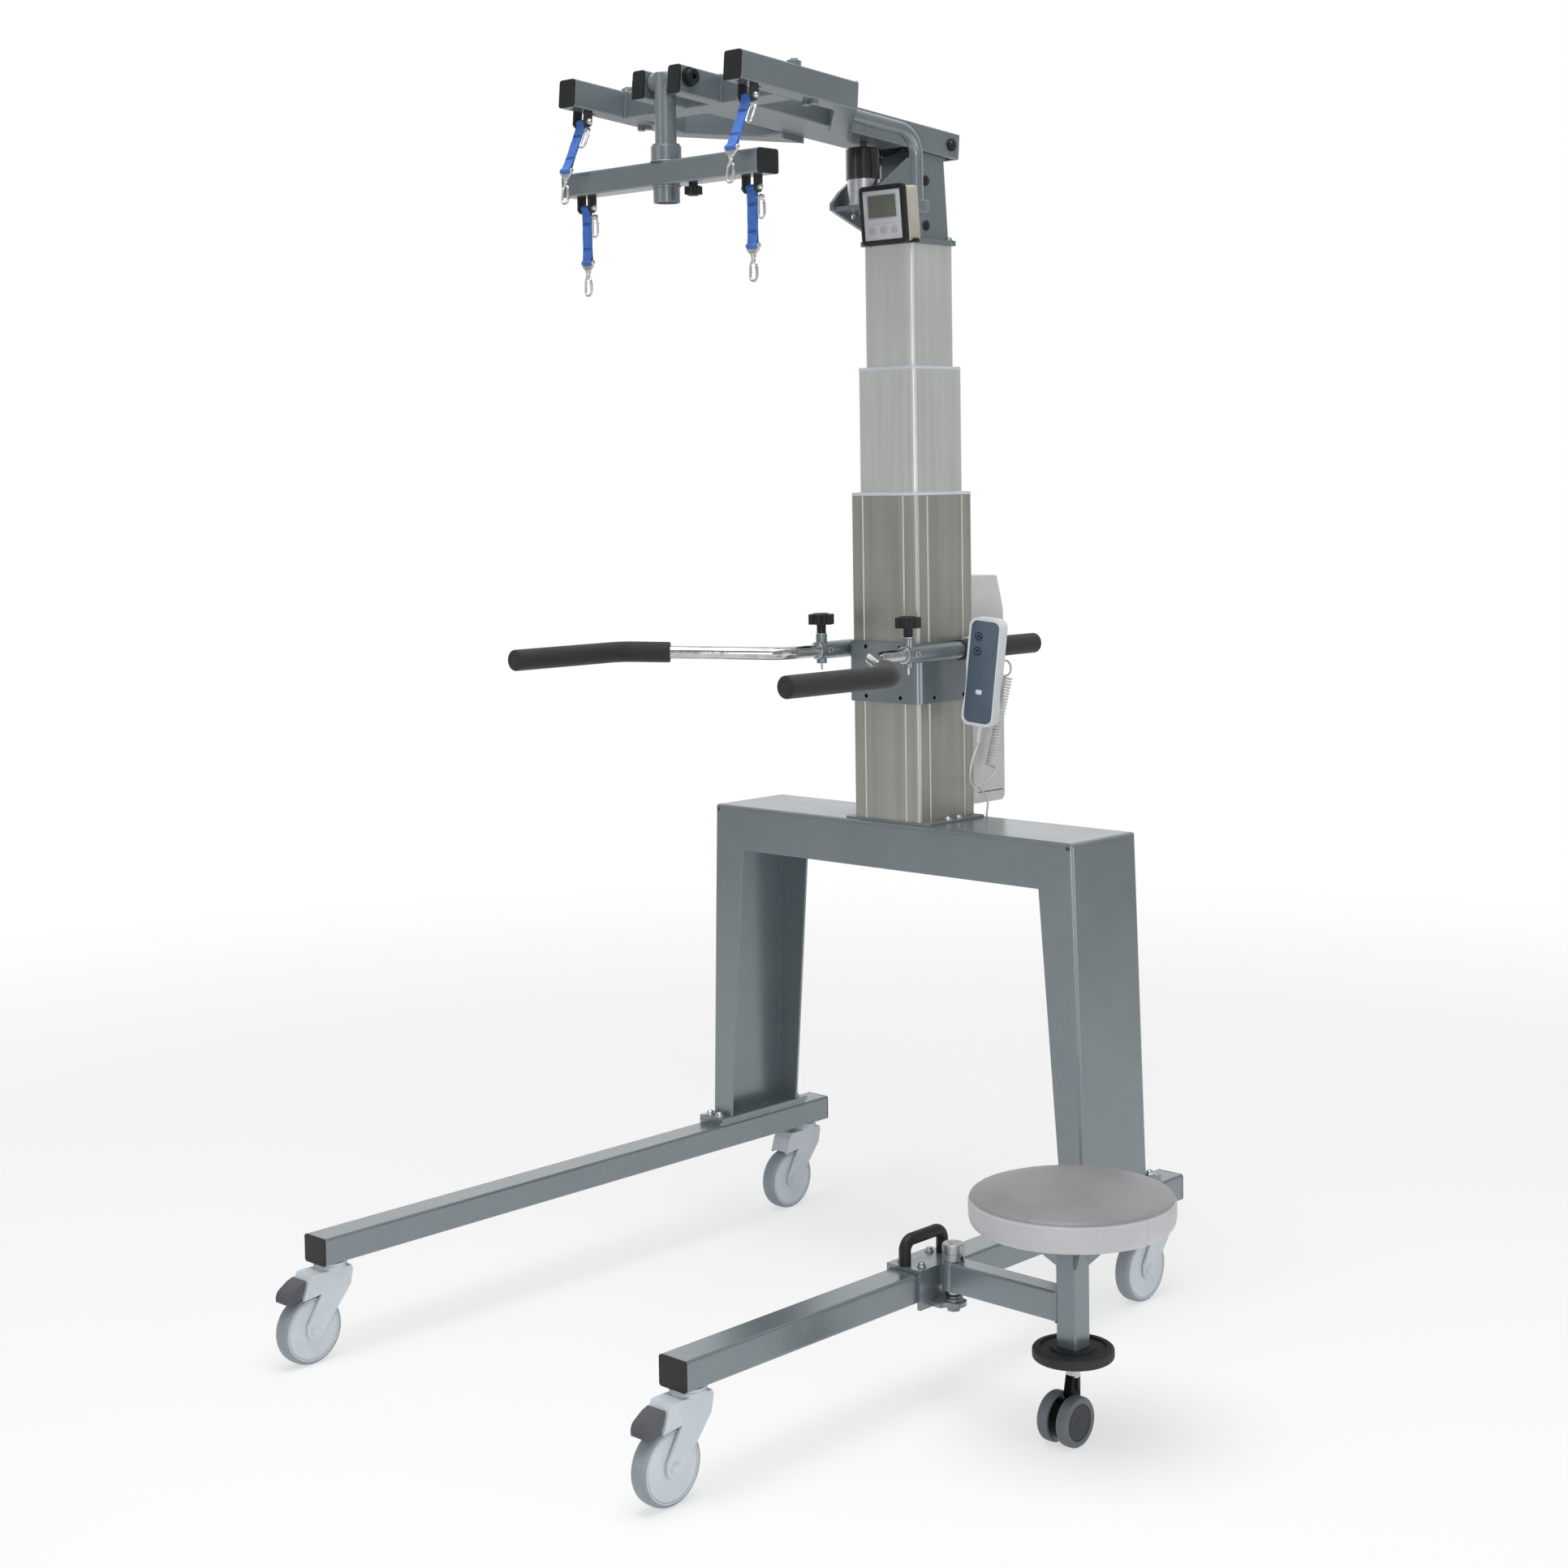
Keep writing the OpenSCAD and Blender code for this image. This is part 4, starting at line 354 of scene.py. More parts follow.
tyre_half = [(0, WHEEL_R), (7, 62.3), (11, 61.6), (13.6, 60.2), (15.2, 58.2), (15.9, 56.4), (15.4, 55.4),
             (13.4, 55.2)]
disc_half = [(0, 56.4), (13.2, 56.4), (15.2, 56.2), (15.9, 55.2), (15.9, 53.9), (15.2, 53.4), (13.6, 53.2),
             (13.6, 51.8), (15.1, 51.2), (15.1, 22), (15.3, 18.6), (15.5, 17.6), (15.6, 6), (15.2, 5.2)]
casters = {"fl": (-CASTER_X, CASTER_FRONT), "fr": (CASTER_X, CASTER_FRONT),
           "rl": (-CASTER_X, CASTER_BACK), "rr": (CASTER_X, CASTER_BACK)}
for name, (x, y) in casters.items():
    for kind, half, finish, slot in (("tyre", tyre_half, tyre_rubber, "tyre"),
                                     ("disc", disc_half, pale_nylon, "caster_plastic")):
        whole = half + [(-along, radius) for along, radius in reversed(half)]
        bm = put(turned(whole, 72), at(x, y - TRAIL, WHEEL_R))
        piece("wheel_" + kind + "_" + name, bm, finish, "wheel_" + name, slot, "wheel_" + name)


def pedal_cap():
    """A brake pedal: a wedge over the fork's lug, with a rounded toe."""
    bm = bmesh.new()
    side = [(-66.8, 156.6), (-80, 151.8), (-98, 140), (-107, 131), (-110.4, 126), (-109, 122.6),
            (-103, 121.2), (-86, 122.2), (-77, 126.4), (-67.8, 151)]
    pushed(bm, bm.faces.new([bm.verts.new((-0.02, y / 1000, z / 1000)) for y, z in side]), (0.04, 0, 0))
    middle = Vector((0.007, -0.0975, 0))
    for hand in (-1, 1):
        for angle in (4, 22, 40, 58, 76):
            out = Vector((math.cos(math.radians(angle)) * hand, -math.sin(math.radians(angle)), 0))
            spot = Vector((middle.x * hand, middle.y, 0)) + out * 0.013
            everything = bm.verts[:] + bm.edges[:] + bm.faces[:]
            cut = bmesh.ops.bisect_plane(bm, geom=everything, plane_co=spot, plane_no=out, clear_outer=True)
            rim = [e for e in cut["geom_cut"] if isinstance(e, bmesh.types.BMEdge)]
            bmesh.ops.contextual_create(bm, geom=rim)
    bmesh.ops.remove_doubles(bm, verts=bm.verts, dist=1e-6)
    bmesh.ops.recalc_face_normals(bm, faces=bm.faces)
    return bm


for name in ("fl", "fr"):
    x, y = casters[name]
    bm = put(pedal_cap(), at(x, y, 0))
    cap = piece("pedal_cap_" + name, bm, pedal_nylon, "pedal_" + name, "pedal_plastic", "pedal_" + name)
    soft_edge = cap.modifiers.new("soft_edge", "BEVEL")
    soft_edge.width = 0.0016
    soft_edge.segments = 2
    soft_edge.limit_method = "ANGLE"


# Lift column: three square aluminium extrusions, brushed along their length and
# clear anodised, each sliding in the one below in a plastic guide ring.
def alloy_finish(name, low, high, painted_below=0.0):
    finish, f, where = new_finish(name)
    drawn = f.node("Mapping", {}, {"Vector": where, "Scale": (900.0, 900.0, 9.0)})
    hair = noise(f, drawn, 1.0, rough=0.6)
    broad = f.node("Mapping", {}, {"Vector": where, "Scale": (60.0, 60.0, 1.6)})
    band = noise(f, broad, 1.0)
    mottle = patches(f, where, 6.0, 0.3, 0.75)
    streak = hair.between(0.2, 0.8) * 0.16 + band.between(0.3, 0.7) * 0.5 + mottle * 0.34
    height = f.node("SeparateXYZ", {}, {0: where}, out="Z")
    foot = height < painted_below
    tint = foot.mix(streak.mix(low, high), shade(130, 138, 141))
    surface(f, {"Base Color": tint, "Metallic": 0.85 - foot * 0.5, "Roughness": hair * 0.08 + 0.34,
                "Normal": bumpy(f, hair, 0.08, 0.0003, round_edge(f, 0.0015))})
    return finish


FLANGE_TOP = 0.8985
outer_alloy = alloy_finish("brushed_alloy_outer", shade(164, 164, 157), shade(186, 186, 179), FLANGE_TOP)
upper_alloy = alloy_finish("brushed_alloy_upper", shade(212, 214, 212), shade(232, 234, 232))
dress(outer_alloy, "column_outer")
dress(upper_alloy, "column_mid", "column_inner")

# Spring unit: the black sleeve of the damper that carries the boom, in gloss enamel
# that is a little cloudy from handling.
enamel, f, where = new_finish("black_enamel")
cloud = patches(f, where, 22.0, 0.35, 0.7)
surface(f, {"Base Color": cloud.mix(shade(18, 18, 20), shade(28, 28, 30)), "Roughness": cloud * 0.08 + 0.16,
            "Coat Weight": 0.6, "Coat Roughness": 0.06, "Normal": round_edge(f, 0.0012)})
dress(enamel, "spring_sleeve")

# Suspension straps: blue polyester webbing, folded round a pin at both ends and
# sewn down with dark thread; below each hangs a swivel snap hook of bright steel.
steel = plated_finish("hook_steel", shade(196, 196, 195), shade(226, 226, 225), 0.22, 0.002, edge=0)
LUG_X, STRAP = 210, 98.0
BOOM_TILT = math.radians(4.85)
boom = Matrix.Translation(at(0, 161, 2210)) @ Matrix.Rotation(-BOOM_TILT, 4, "X")
boom_lug = boom @ Matrix.Translation((0, -0.715, -0.056))
upper_pin = boom_lug.translation
hang = (boom @ Matrix.Translation((0, -0.712, -0.005))).translation
lower_pin = hang - Vector((0, 0, 0.204))

webbing, f, where = new_finish("blue_webbing")
cloth = f.node("UVMap", {"uv_map": "web"})
apart = f.node("SeparateXYZ", {}, {0: cloth})
across = Finish(f.tree, apart.socket.node.outputs["X"])
along = Finish(f.tree, apart.socket.node.outputs["Y"])
rib = f.sum("SINE", across * 5700.0, 0.0)
pick = f.sum("SINE", along * 4200.0 + f.sum("SIGN", rib, 0.0) * 1.57, 0.0)
weave = rib * rib * 0.6 + pick * 0.25
edge = f.sum("ABSOLUTE", across, 0.0).between(0.0085, 0.0108)
fade = patches(f, where, 45.0, 0.35, 0.7)
tint = (weave * 0.14 + fade * 0.5 + edge * 0.2).mix(shade(38, 92, 178), shade(66, 124, 208))
surface(f, {"Base Color": tint, "Roughness": 0.66, "Sheen Weight": 0.2,
            "Normal": bumpy(f, weave, 0.16, 0.0004)})
dark_thread = moulded_finish("dark_thread", shade(16, 26, 66), shade(28, 42, 92), 0.8, 2600.0, 0.4)


def strap_web(place):
    """Two plies of webbing with an eye round each pin, drawn hanging from z = 0."""
    bm = bmesh.new()
    loop = []
    for pin, start in ((0.0, -60), (-STRAP, 120)):
        for k in range(13):
            a = math.radians(start + 300 * k / 12)
            loop.append((4.75 * math.cos(a), pin + 4.75 * math.sin(a)))
        side = -1 if pin == 0 else 1
        for k in range(1, 12):
            z = -10 - 78 * k / 12 if pin == 0 else -88 + 78 * k / 12
            loop.append((side * (1.05 + 0.25 * math.sin(k * 1.3)), z))
    ring = [bm.verts.new((-0.011, y / 1000, z / 1000)) for y, z in loop]
    edges = [bm.edges.new((a, b)) for a, b in zip(ring, ring[1:] + ring[:1])]
    for _ in range(4):
        grown = bmesh.ops.extrude_edge_only(bm, edges=edges)
        moved = [v for v in grown["geom"] if isinstance(v, bmesh.types.BMVert)]
        bmesh.ops.translate(bm, verts=moved, vec=(0.0055, 0, 0))
        edges = [e for e in grown["geom"] if isinstance(e, bmesh.types.BMEdge) and all(
            v in moved for v in e.verts)]
    bmesh.ops.recalc_face_normals(bm, faces=bm.faces)
    layer = bm.loops.layers.uv.new("web")
    for face in bm.faces:
        for corner in face.loops:
            corner[layer].uv = (corner.vert.co.x, corner.vert.co.z)
    bm.transform(place)
    return bm


def bead(bm, place, length, thick, sides=6):
    """A short round-ended thread or stud, lying along X of its place."""
    made = bmesh.ops.create_uvsphere(bm, u_segments=sides, v_segments=4, radius=1.0)
    size = Matrix.Diagonal((thick / 2000, thick / 2000, length / 2000, 1))
    bmesh.ops.transform(bm, matrix=place @ HANGING @ size, verts=made["verts"])


def bar_tacks(place):
    """Rows of dark stitches across a strap, in front and behind."""
    bm = bmesh.new()
    for row in (-27, -30, -72, -75):
        for front in (-1, 1):
            for k in range(7):
                spot = Matrix.Translation(Vector((-9.3 + 3.1 * k, front * 2.15, row)) / 1000)
                bead(bm, place @ spot, 2.9, 1.2)
    return bm


def wire(points, thick, closed=False, sides=3, ends=None):
    """A bent wire as a mesh, through places in metres."""
    line = bpy.data.curves.new("wire", "CURVE")
    line.dimensions = "3D"
    line.bevel_depth = thick / 2000
    line.bevel_resolution = sides
    line.use_fill_caps = True
    spline = line.splines.new("POLY")
    spline.points.add(len(points) - 1)
    for point, co in zip(spline.points, points):
        point.co = (*co, 1)
    for point, scale in zip(spline.points, ends or ()):
        point.radius = scale
    spline.use_cyclic_u = closed
    holder = bpy.data.objects.new("wire", line)
    bm = bmesh.new()
    mesh = bpy.data.meshes.new_from_object(holder)
    bm.from_mesh(mesh)
    bpy.data.objects.remove(holder)
    bpy.data.curves.remove(line)
    bpy.data.meshes.remove(mesh)
    bmesh.ops.remove_doubles(bm, verts=bm.verts, dist=1e-7)
    bmesh.ops.recalc_face_normals(bm, faces=bm.faces)
    return bm


def joined(*shapes):
    """Several shapes as one mesh."""
    whole = bmesh.new()
    for bm in shapes:
        part = bpy.data.meshes.new("part")
        bm.to_mesh(part)
        bm.free()
        whole.from_mesh(part)
        bpy.data.meshes.remove(part)
    return whole


def snap_ring(top, low, wide, thick):
    """A snap hook's pear-shaped body with its gate, in the XZ plane."""
    small, large = wide * 0.34, wide / 2 - thick / 2
    line = []
    for k in range(13):
        a = math.pi * k / 12
        line.append((small * math.cos(a) / 1000, 0, (top - small - thick / 2 + small * math.sin(a)) / 1000))
    for k in range(15):
        a = math.pi + math.pi * k / 14
        line.append((large * math.cos(a) / 1000, 0, (low + large + thick / 2 + large * math.sin(a)) / 1000))
    body = wire(line, thick, closed=True)
    gate = wire([Vector((large + 0.4, 0, low + large + 3)) / 1000,
                 Vector((small + 1.0, 0, top - small - 5)) / 1000], thick * 1.18)
    reach = thick * 0.8
    stud = turned([(-reach, 0), (-reach, 1.3), (reach, 1.3), (reach, 0)], 12, closed=False)
    return joined(body, gate, put(stud, Vector((small + 0.8, 0, top - small - 6)) / 1000, LAID))


def plate(corners, way):
    """A solid: a flat face with these corners, drawn out by a way."""
    bm = bmesh.new()
    pushed(bm, bm.faces.new([bm.verts.new(corner) for corner in corners]), way)
    bmesh.ops.recalc_face_normals(bm, faces=bm.faces)
    return bm


def eye_plate():
    """The pressed plate of a hook: a pin between two round lobes, narrowing to the swivel."""
    outline = [(-17, -1), (-16, 4), (-11, 4.5), (-9, 0), (-8, -5), (8, -5), (9, 0), (11, 4.5), (16, 4),
               (17, -1), (14, -8), (6, -15), (4, -18), (-4, -18), (-6, -15), (-14, -8)]
    bm = plate([(x / 1000, -0.0016, z / 1000) for x, z in outline], (0, 0.0032, 0))
    bmesh.ops.bevel(bm, geom=bm.edges[:], offset=0.0011, segments=2, profile=0.5, affect="EDGES", material=-1)
    pin = turned([(-16, 0), (-16, 3), (-15, 3.5), (15, 3.5), (16, 3), (16, 0)], 20, closed=False)
    barrel = turned([(14, 0), (14, 4), (15, 5), (19, 5), (20, 4), (21, 3.4), (23, 3.4), (24, 4.6), (27, 4.6),
                     (28, 3.6), (28, 0)], 20, closed=False)
    barrel.transform(HANGING)
    return joined(bm, pin, barrel)


for name, x, pin, lean, hook_lean in (("ul", -LUG_X, upper_pin, -24.5, 19.5),
                                      ("ur", LUG_X, upper_pin, -24.5, 19.5),
                                      ("ll", -LUG_X, lower_pin, 0, 0), ("lr", LUG_X, lower_pin, 0, 0)):
    pose = Matrix.Translation(pin + Vector((x / 1000, 0, 0))) @ Matrix.Rotation(math.radians(lean), 4, "X")
    web = piece("webbing_" + name, strap_web(pose), webbing, "strap_" + name, "webbing", "strap_" + name)
    ply = web.modifiers.new("ply", "SOLIDIFY")
    ply.thickness = 0.0017
    ply.offset = 0
    piece("tacks_" + name, bar_tacks(pose), dark_thread, "strap_" + name, "webbing")
    knuckle_half = [(10, 0), (10, 2), (16, 2), (17, 4.2), (21, 5.2), (25, 4.2), (26.2, 0)]
    knuckle = put(turned(knuckle_half, 16, closed=False), (0, 0, -0.017))
    both = joined(put(snap_ring(-17, -55, 17, 4), (0.021, 0, 0)), knuckle)
    both.transform(pose)
    piece("spare_hook_" + name, both, steel, "strap_" + name, "steel")
    low = pose @ Matrix.Translation((0, 0, -STRAP / 1000)) @ Matrix.Rotation(math.radians(hook_lean), 4, "X")
    whole = joined(eye_plate(), snap_ring(-25, -62, 20, 4.6))
    whole.transform(low)
    piece("snap_hook_" + name, whole, steel, "hook_" + name, "steel", "hook_" + name)


# Lugs of the straps: dark pressed cheeks under the arms and the bar, each pair with
# a bright pin through it that ends in two balls.
def rounded_block(w, h, r, deep, place, edge=0.8, back=0.0):
    """A moulded block: a rounded outline in XZ of its place, from y = back to y = back - deep."""
    outline = []
    for cx, cz, start in ((1, 1, 0), (-1, 1, 90), (-1, -1, 180), (1, -1, 270)):
        for k in range(7):
            a = math.radians(start + 15 * k)
            outline.append((cx * (w / 2 - r) + r * math.cos(a), cz * (h / 2 - r) + r * math.sin(a)))
    bm = plate([(x / 1000, (back - deep) / 1000, z / 1000) for x, z in outline], (0, deep / 1000, 0))
    rims = [e for e in bm.edges if abs(e.verts[0].co.y - e.verts[1].co.y) < 1e-7]
    bmesh.ops.bevel(bm, geom=rims, offset=edge / 1000, segments=2, profile=0.5, affect="EDGES", material=-1)
    bm.transform(place)
    return bm


dark_cheek = moulded_finish("dark_cheek", shade(34, 32, 31), shade(52, 49, 47), 0.55)
ball_half = [(-6.2, 0), (-5.7, 2.6), (-4, 4.8), (0, 6.2), (3.4, 5.4), (5.4, 4), (7, 3.9), (7, 0)]
for body, name, hold in (("boom", "upper", boom_lug), ("lift_bar", "lower", Matrix.Translation(lower_pin))):
    cheeks, balls = [], []
    for x in (-LUG_X, LUG_X):
        for side in (-1, 1):
            spot = hold @ Matrix.Translation(Vector((x + 14 * side, 0, 10.7)) / 1000)
            cheeks.append(rounded_block(18.6, 40, 9.2, 4.6, spot @ LAID, 0.6, 2.3))
            ball = turned(ball_half, 20, closed=False)
            ball.transform(hold @ Matrix.Translation(Vector((x + 18 * side, 0, 0)) / 1000) @ Matrix.Rotation(
                math.pi if side > 0 else 0, 4, "Z"))
            balls.append(ball)
    piece("lug_cheeks_" + name, joined(*cheeks), dark_cheek, body, "paint")
    piece("lug_balls_" + name, joined(*balls), steel, body, "steel")

# Handlebars: bent steel rod, bright chrome, that slides in the collar's sockets and
# is held there by a clamp knob.
chrome = plated_finish("chrome", shade(180, 182, 184), shade(204, 206, 208), 0.07, 0.002, edge=0)
dress(chrome, "handlebar_left", "handlebar_right")

# Socket fittings: a bright zinc lip where the rod goes in, a painted highlight of light caught by the
# socket's chamfered mouth; a set screw in the side, drawn as a black disc that is painted shade of its
# hole, in a zinc rim, with a small zinc dot on it for its glint, a painted highlight; and the end of
# the clamp screw under each socket with its washer under the knob.
SOCKET_X, SOCKET_UP = 112, 1229
highlights_and_rims, shade_wells = [], []
for name, x in (("left", -SOCKET_X), ("right", SOCKET_X)):
    # The zinc lip and the small zinc glint are painted highlights: light caught by the mouth's chamfer and by
    # the set screw.
    lip_highlight = turned([(-0.4, 13.1), (-0.7, 14), (-0.7, 15.6), (0, 16.8), (0.6, 15), (0.4, 13.1)], 40)
    set_ring = turned([(15.6, 3.6), (15.6, 6), (17.4, 5.6), (18, 4.6), (17.6, 3.6)], 28)
    glint = turned([(17, 0), (17, 1.5), (17.5, 1.4), (17.6, 0)], 12, closed=False)
    # The well is a black disc, painted shade of the set screw's hole.
    shade_well = turned([(16.8, 0), (16.8, 3.7), (17.3, 3.7), (17.3, 0)], 20, closed=False)
    screw = at(x, -35, SOCKET_UP)
    highlights_and_rims += [put(lip_highlight, at(x, -59, SOCKET_UP), LAID), put(set_ring, screw), put(glint, screw)]
    shade_wells.append(put(shade_well, screw))
    tip = turned([(-38.5, 0), (-38.2, 1.4), (-36.6, 2.4), (-24.6, 2.4), (-24.6, 0)], 20, closed=False)
    washer = turned([(31.3, 8.8), (31.3, 10.3), (31.8, 10.8), (33.4, 10.8), (33.9, 10.3), (33.9, 8.8)], 28)
    stud = put(joined(tip, washer), at(x, -44, SOCKET_UP), UPRIGHT)
    piece("clamp_screw_" + name, stud, zinc, "clamp_knob_" + name, "steel")
# Zinc lips, rims and glints; the lips and glints are painted highlights.
piece("socket_highlights_and_rims", joined(*highlights_and_rims), zinc, "base", "steel")
piece("set_screw_painted_shade", joined(*shade_wells), black_nylon, "base", "black_plastic")

# Grips: closed-cell black foam sleeves, pushed over the bars with their far end
# moulded shut, and straight ones on the back of the sockets, open at the end.
foam, f, where = new_finish("black_foam")
cell = f.node("TexVoronoi", {"feature": "F1"}, {"Vector": where, "Scale": 780.0}, out="Distance")
cloud = patches(f, where, 11.0, 0.3, 0.75)
tint = (cell * 0.5 + cloud * 0.4).mix(shade(15, 16, 17), shade(38, 39, 40))
surface(f, {"Base Color": tint, "Roughness": cloud * 0.12 + 0.66, "Sheen Weight": 0.15,
            "Normal": bumpy(f, cell, 0.35, 0.0008)})


def grip_line():
    """The middle of a grip, drawn about its socket, and how thick it is along the way."""
    first, corner, end = Vector((0, -151, 0)), Vector((234, -360, 0)), Vector((234, -621, 0))
    bend_r = 60
    slant = (corner - first).normalized()
    bend = math.acos(-slant.y)
    reach = bend_r * math.tan(bend / 2)
    line = [corner - slant * s for s in (94.6, 94, 92.5, 90, 80, 65, 50, reach + 8)]
    thick = [0.9, 0.96, 0.99, 1, 1, 1, 1, 1]
    centre = Vector((corner.x - bend_r, corner.y - reach, 0))
    for k in range(13):
        a = bend * (1 - k / 12)
        line.append(centre + bend_r * Vector((math.cos(a), math.sin(a), 0)))
        thick.append(1)
    for y in range(20, 200, 15):
        line.append(Vector((corner.x, corner.y - reach - y, 0)))
        thick.append(1)
    for past, scale in ((-8, 1), (0, 1), (4, 1), (6, 0.985), (7.2, 0.95), (7.8, 0.9), (8, 0.82)):
        line.append(end - Vector((0, past, 0)))
        thick.append(scale)
    return line, thick


line, thick = grip_line()
for name, sign, tilt in (("left", -1, -2), ("right", 1, 2)):
    socket = Matrix.Translation(at(sign * SOCKET_X, 0, SOCKET_UP)) @ Matrix.Diagonal((sign, 1, 1, 1))
    pose = socket @ Matrix.Rotation(math.radians(tilt), 4, "Y")
    bm = wire([pose @ (p / 1000) for p in line], 40, sides=8, ends=thick)
    grip = piece("foam_grip_" + name, bm, foam, "handlebar_" + name, "foam", "grip_" + name)
    rim = turned([(0, 11.4), (-0.7, 11.8), (-0.9, 12.6), (-0.7, 13.4), (0, 13.8), (0.6, 12.6)], 40)
    rim.transform(pose @ Matrix.Translation((0.234, -0.629, 0)) @ LAID)
    bmesh.ops.recalc_face_normals(rim, faces=rim.faces)
    piece("grip_rim_" + name, rim, foam, "handlebar_" + name, "foam")

sleeve_profile = [(0, 17.2), (0, 19.4), (0.8, 20), (20, 20), (110, 20.15), (216, 20), (234.5, 20),
                  (235.6, 19.2), (236, 17.6), (235.6, 14.4), (233, 13.6), (216, 13.4), (216, 0.01)]
shapes = [put(turned(sleeve_profile, 40, closed=False), at(x, 106, SOCKET_UP), LAID)
          for x in (-SOCKET_X, SOCKET_X)]
sleeves = piece("foam_sleeves", joined(*shapes), foam, "base", "foam", "rear_sleeves")

# Load display: a beige housing clamped on its own bent tube, a black frame round a
# pale printed face, a liquid crystal window and three soft keys.
beige = moulded_finish("display_housing_beige", shade(168, 164, 152), shade(184, 180, 168), 0.45)
face_print = moulded_finish("display_face_film", shade(182, 184, 187), shade(194, 196, 199), 0.3)
key_skin = moulded_finish("display_key_skin", shade(160, 163, 167), shade(174, 177, 181), 0.35)
glass, f, where = new_finish("crystal_window")
cloud = patches(f, where, 30.0, 0.3, 0.75)
surface(f, {"Base Color": cloud.mix(shade(82, 88, 78), shade(92, 98, 87)), "Roughness": cloud * 0.04 + 0.3,
            "Coat Weight": 0.1, "Coat Roughness": 0.2})
dial = Matrix.Translation(at(111, -79.5, 2055)) @ Matrix.Rotation(math.radians(5), 4, "X")


def bezel():
    """The black frame, sunk round the face."""
    bm = rounded_block(111, 110, 9, 10, Matrix.Identity(4), 2.2, -13)
    front = min(bm.faces, key=lambda face: face.calc_center_median().y)
    bmesh.ops.inset_region(bm, faces=[front], thickness=0.0072, depth=0)
    pushed(bm, front, (0, 0.0015, 0))
    bmesh.ops.delete(bm, geom=[front], context="FACES")
    bm.transform(dial)
    return bm


piece("display_frame", bezel(), black_nylon, "boom", "display_plastic", "display_housing")
shell = rounded_block(103, 102, 7, 36, dial, 1.2, 23)
piece("display_shell", shell, beige, "boom", "display_plastic")
clamp = rounded_block(34.4, 24.4, 4, 34.4, Matrix.Translation(at(144, -25.8, 2070)), 1.0)
rod = turned([(-61, 0), (-61, 3.4), (-60, 4.4), (-54, 4.4), (-53, 3.6), (53, 3.6), (54, 4.4), (60, 4.4),
              (61, 3.4), (61, 0)], 20, closed=False)
rod.transform(dial @ Matrix.Translation((0, 0.004, -0.0515)))
piece("display_clamp", clamp, paint, "boom", "paint")
piece("display_clamp_rod", rod, black_nylon, "boom", "display_plastic")
piece("display_face", rounded_block(95, 94, 4, 0.9, dial, 0.3, -21.2), face_print, "boom", "display_plastic")
window = dial @ Matrix.Translation((0, 0, 0.016))
window_edge = rounded_block(73, 46, 3, 0.5, window, 0.2, -22.0)
piece("display_window_edge", window_edge, key_skin, "boom", "display_plastic")
pane = rounded_block(68, 41, 1.5, 0.5, window, 0.2, -22.35)
piece("display_window", pane, glass, "boom", "display_plastic")
keys = [rounded_block(16, 14, 6.9, 0.9, dial @ Matrix.Translation((x / 1000, 0, -0.028)), 0.4, -22.0)
        for x in (-28, 0, 28)]
rule = rounded_block(88, 0.7, 0.3, 0.25, dial @ Matrix.Translation((0, 0, -0.016)), 0.05, -22.0)
piece("display_keys", joined(*keys, rule), key_skin, "boom", "key_plastic")

# Control box on the back of the column: pale moulded shell with a separate battery
# above it, and below it the bush for the mains lead.
pale_shell = moulded_finish("pale_shell", shade(200, 201, 198), shade(214, 215, 212), 0.42)
dress(pale_shell, "control_box")

# Handset: white moulded case hooked over a foam sleeve, a printed blue-grey film on
# its face, two round keys, and a ribbed relief where the cord leaves it.
white_shell = moulded_finish("white_shell", shade(208, 211, 213), shade(222, 225, 227), 0.36)
film = moulded_finish("keypad_film", shade(72, 88, 102), shade(82, 98, 112), 0.42, 1500.0, 0.06)
ink = moulded_finish("key_ink", shade(22, 28, 38), shade(30, 36, 46), 0.4)
dress(white_shell, "handset")
dress(film, "handset_up_key", "handset_down_key")
TURN, LEAN = math.radians(13), math.radians(6.5)
set_middle = at(SOCKET_X + 20 + 34 * math.cos(TURN) + 14 * math.sin(TURN) - 41 * math.sin(LEAN) + 3,
                139 - 9 - 14 * math.cos(TURN), 1188)
handset = Matrix.Translation(set_middle) @ Matrix.Rotation(TURN, 4, "Z") @ Matrix.Rotation(LEAN, 4, "Y")
film_plate = rounded_block(58.4, 197.4, 12.7, 0.9, handset, 0.25, -12.9)
piece("handset_film", film_plate, film, "base", "white_plastic")
lamp_spot = handset @ Matrix.Translation((-0.002, 0, -0.039))
lamp = rounded_block(13, 9, 2.6, 0.5, lamp_spot, 0.2, -13.6)
piece("handset_lamp", lamp, white_shell, "base", "white_plastic")


def key_mark(place, flip):
    """A printed ring with a triangle that points up, or down with flip -1."""
    ring = turned([(0, 8.1), (0.3, 8.0), (0.3, 6.2), (0, 6.1)], 40)
    ring.transform(LAID @ Matrix.Scale(-1, 4, (1, 0, 0)))
    bmesh.ops.recalc_face_normals(ring, faces=ring.faces)
    corners = [(x / 1000, -0.0003, z * flip / 1000) for x, z in ((-4.5, -3.0), (4.5, -3.0), (0, 4.6))]
    both = joined(ring, plate(corners, (0, 0.0003, 0)))
    both.transform(place)
    return both


for body, flip, z in (("up_key", 1, 69), ("down_key", -1, 40)):
    spot = handset @ Matrix.Translation(Vector((-12, -14.8, z)) / 1000)
    piece(body + "_mark", key_mark(spot, flip), ink, body, "key_plastic")

# Cords: the handset's curled cord goes from its relief down in a slack loop and up
# to the control box; a short plain lead goes from the box into the arch.
CORD_D = 0.004
cord_sheath, f, where = new_finish("white_sheath")
cloud = patches(f, where, 35.0, 0.3, 0.75)
fine = noise(f, where, 1600.0)
tint = cloud.mix(shade(208, 209, 209), shade(224, 225, 225))
surface(f, {"Base Color": tint, "Roughness": cloud * 0.08 + 0.4, "Normal": bumpy(f, fine, 0.06, 0.0003)})


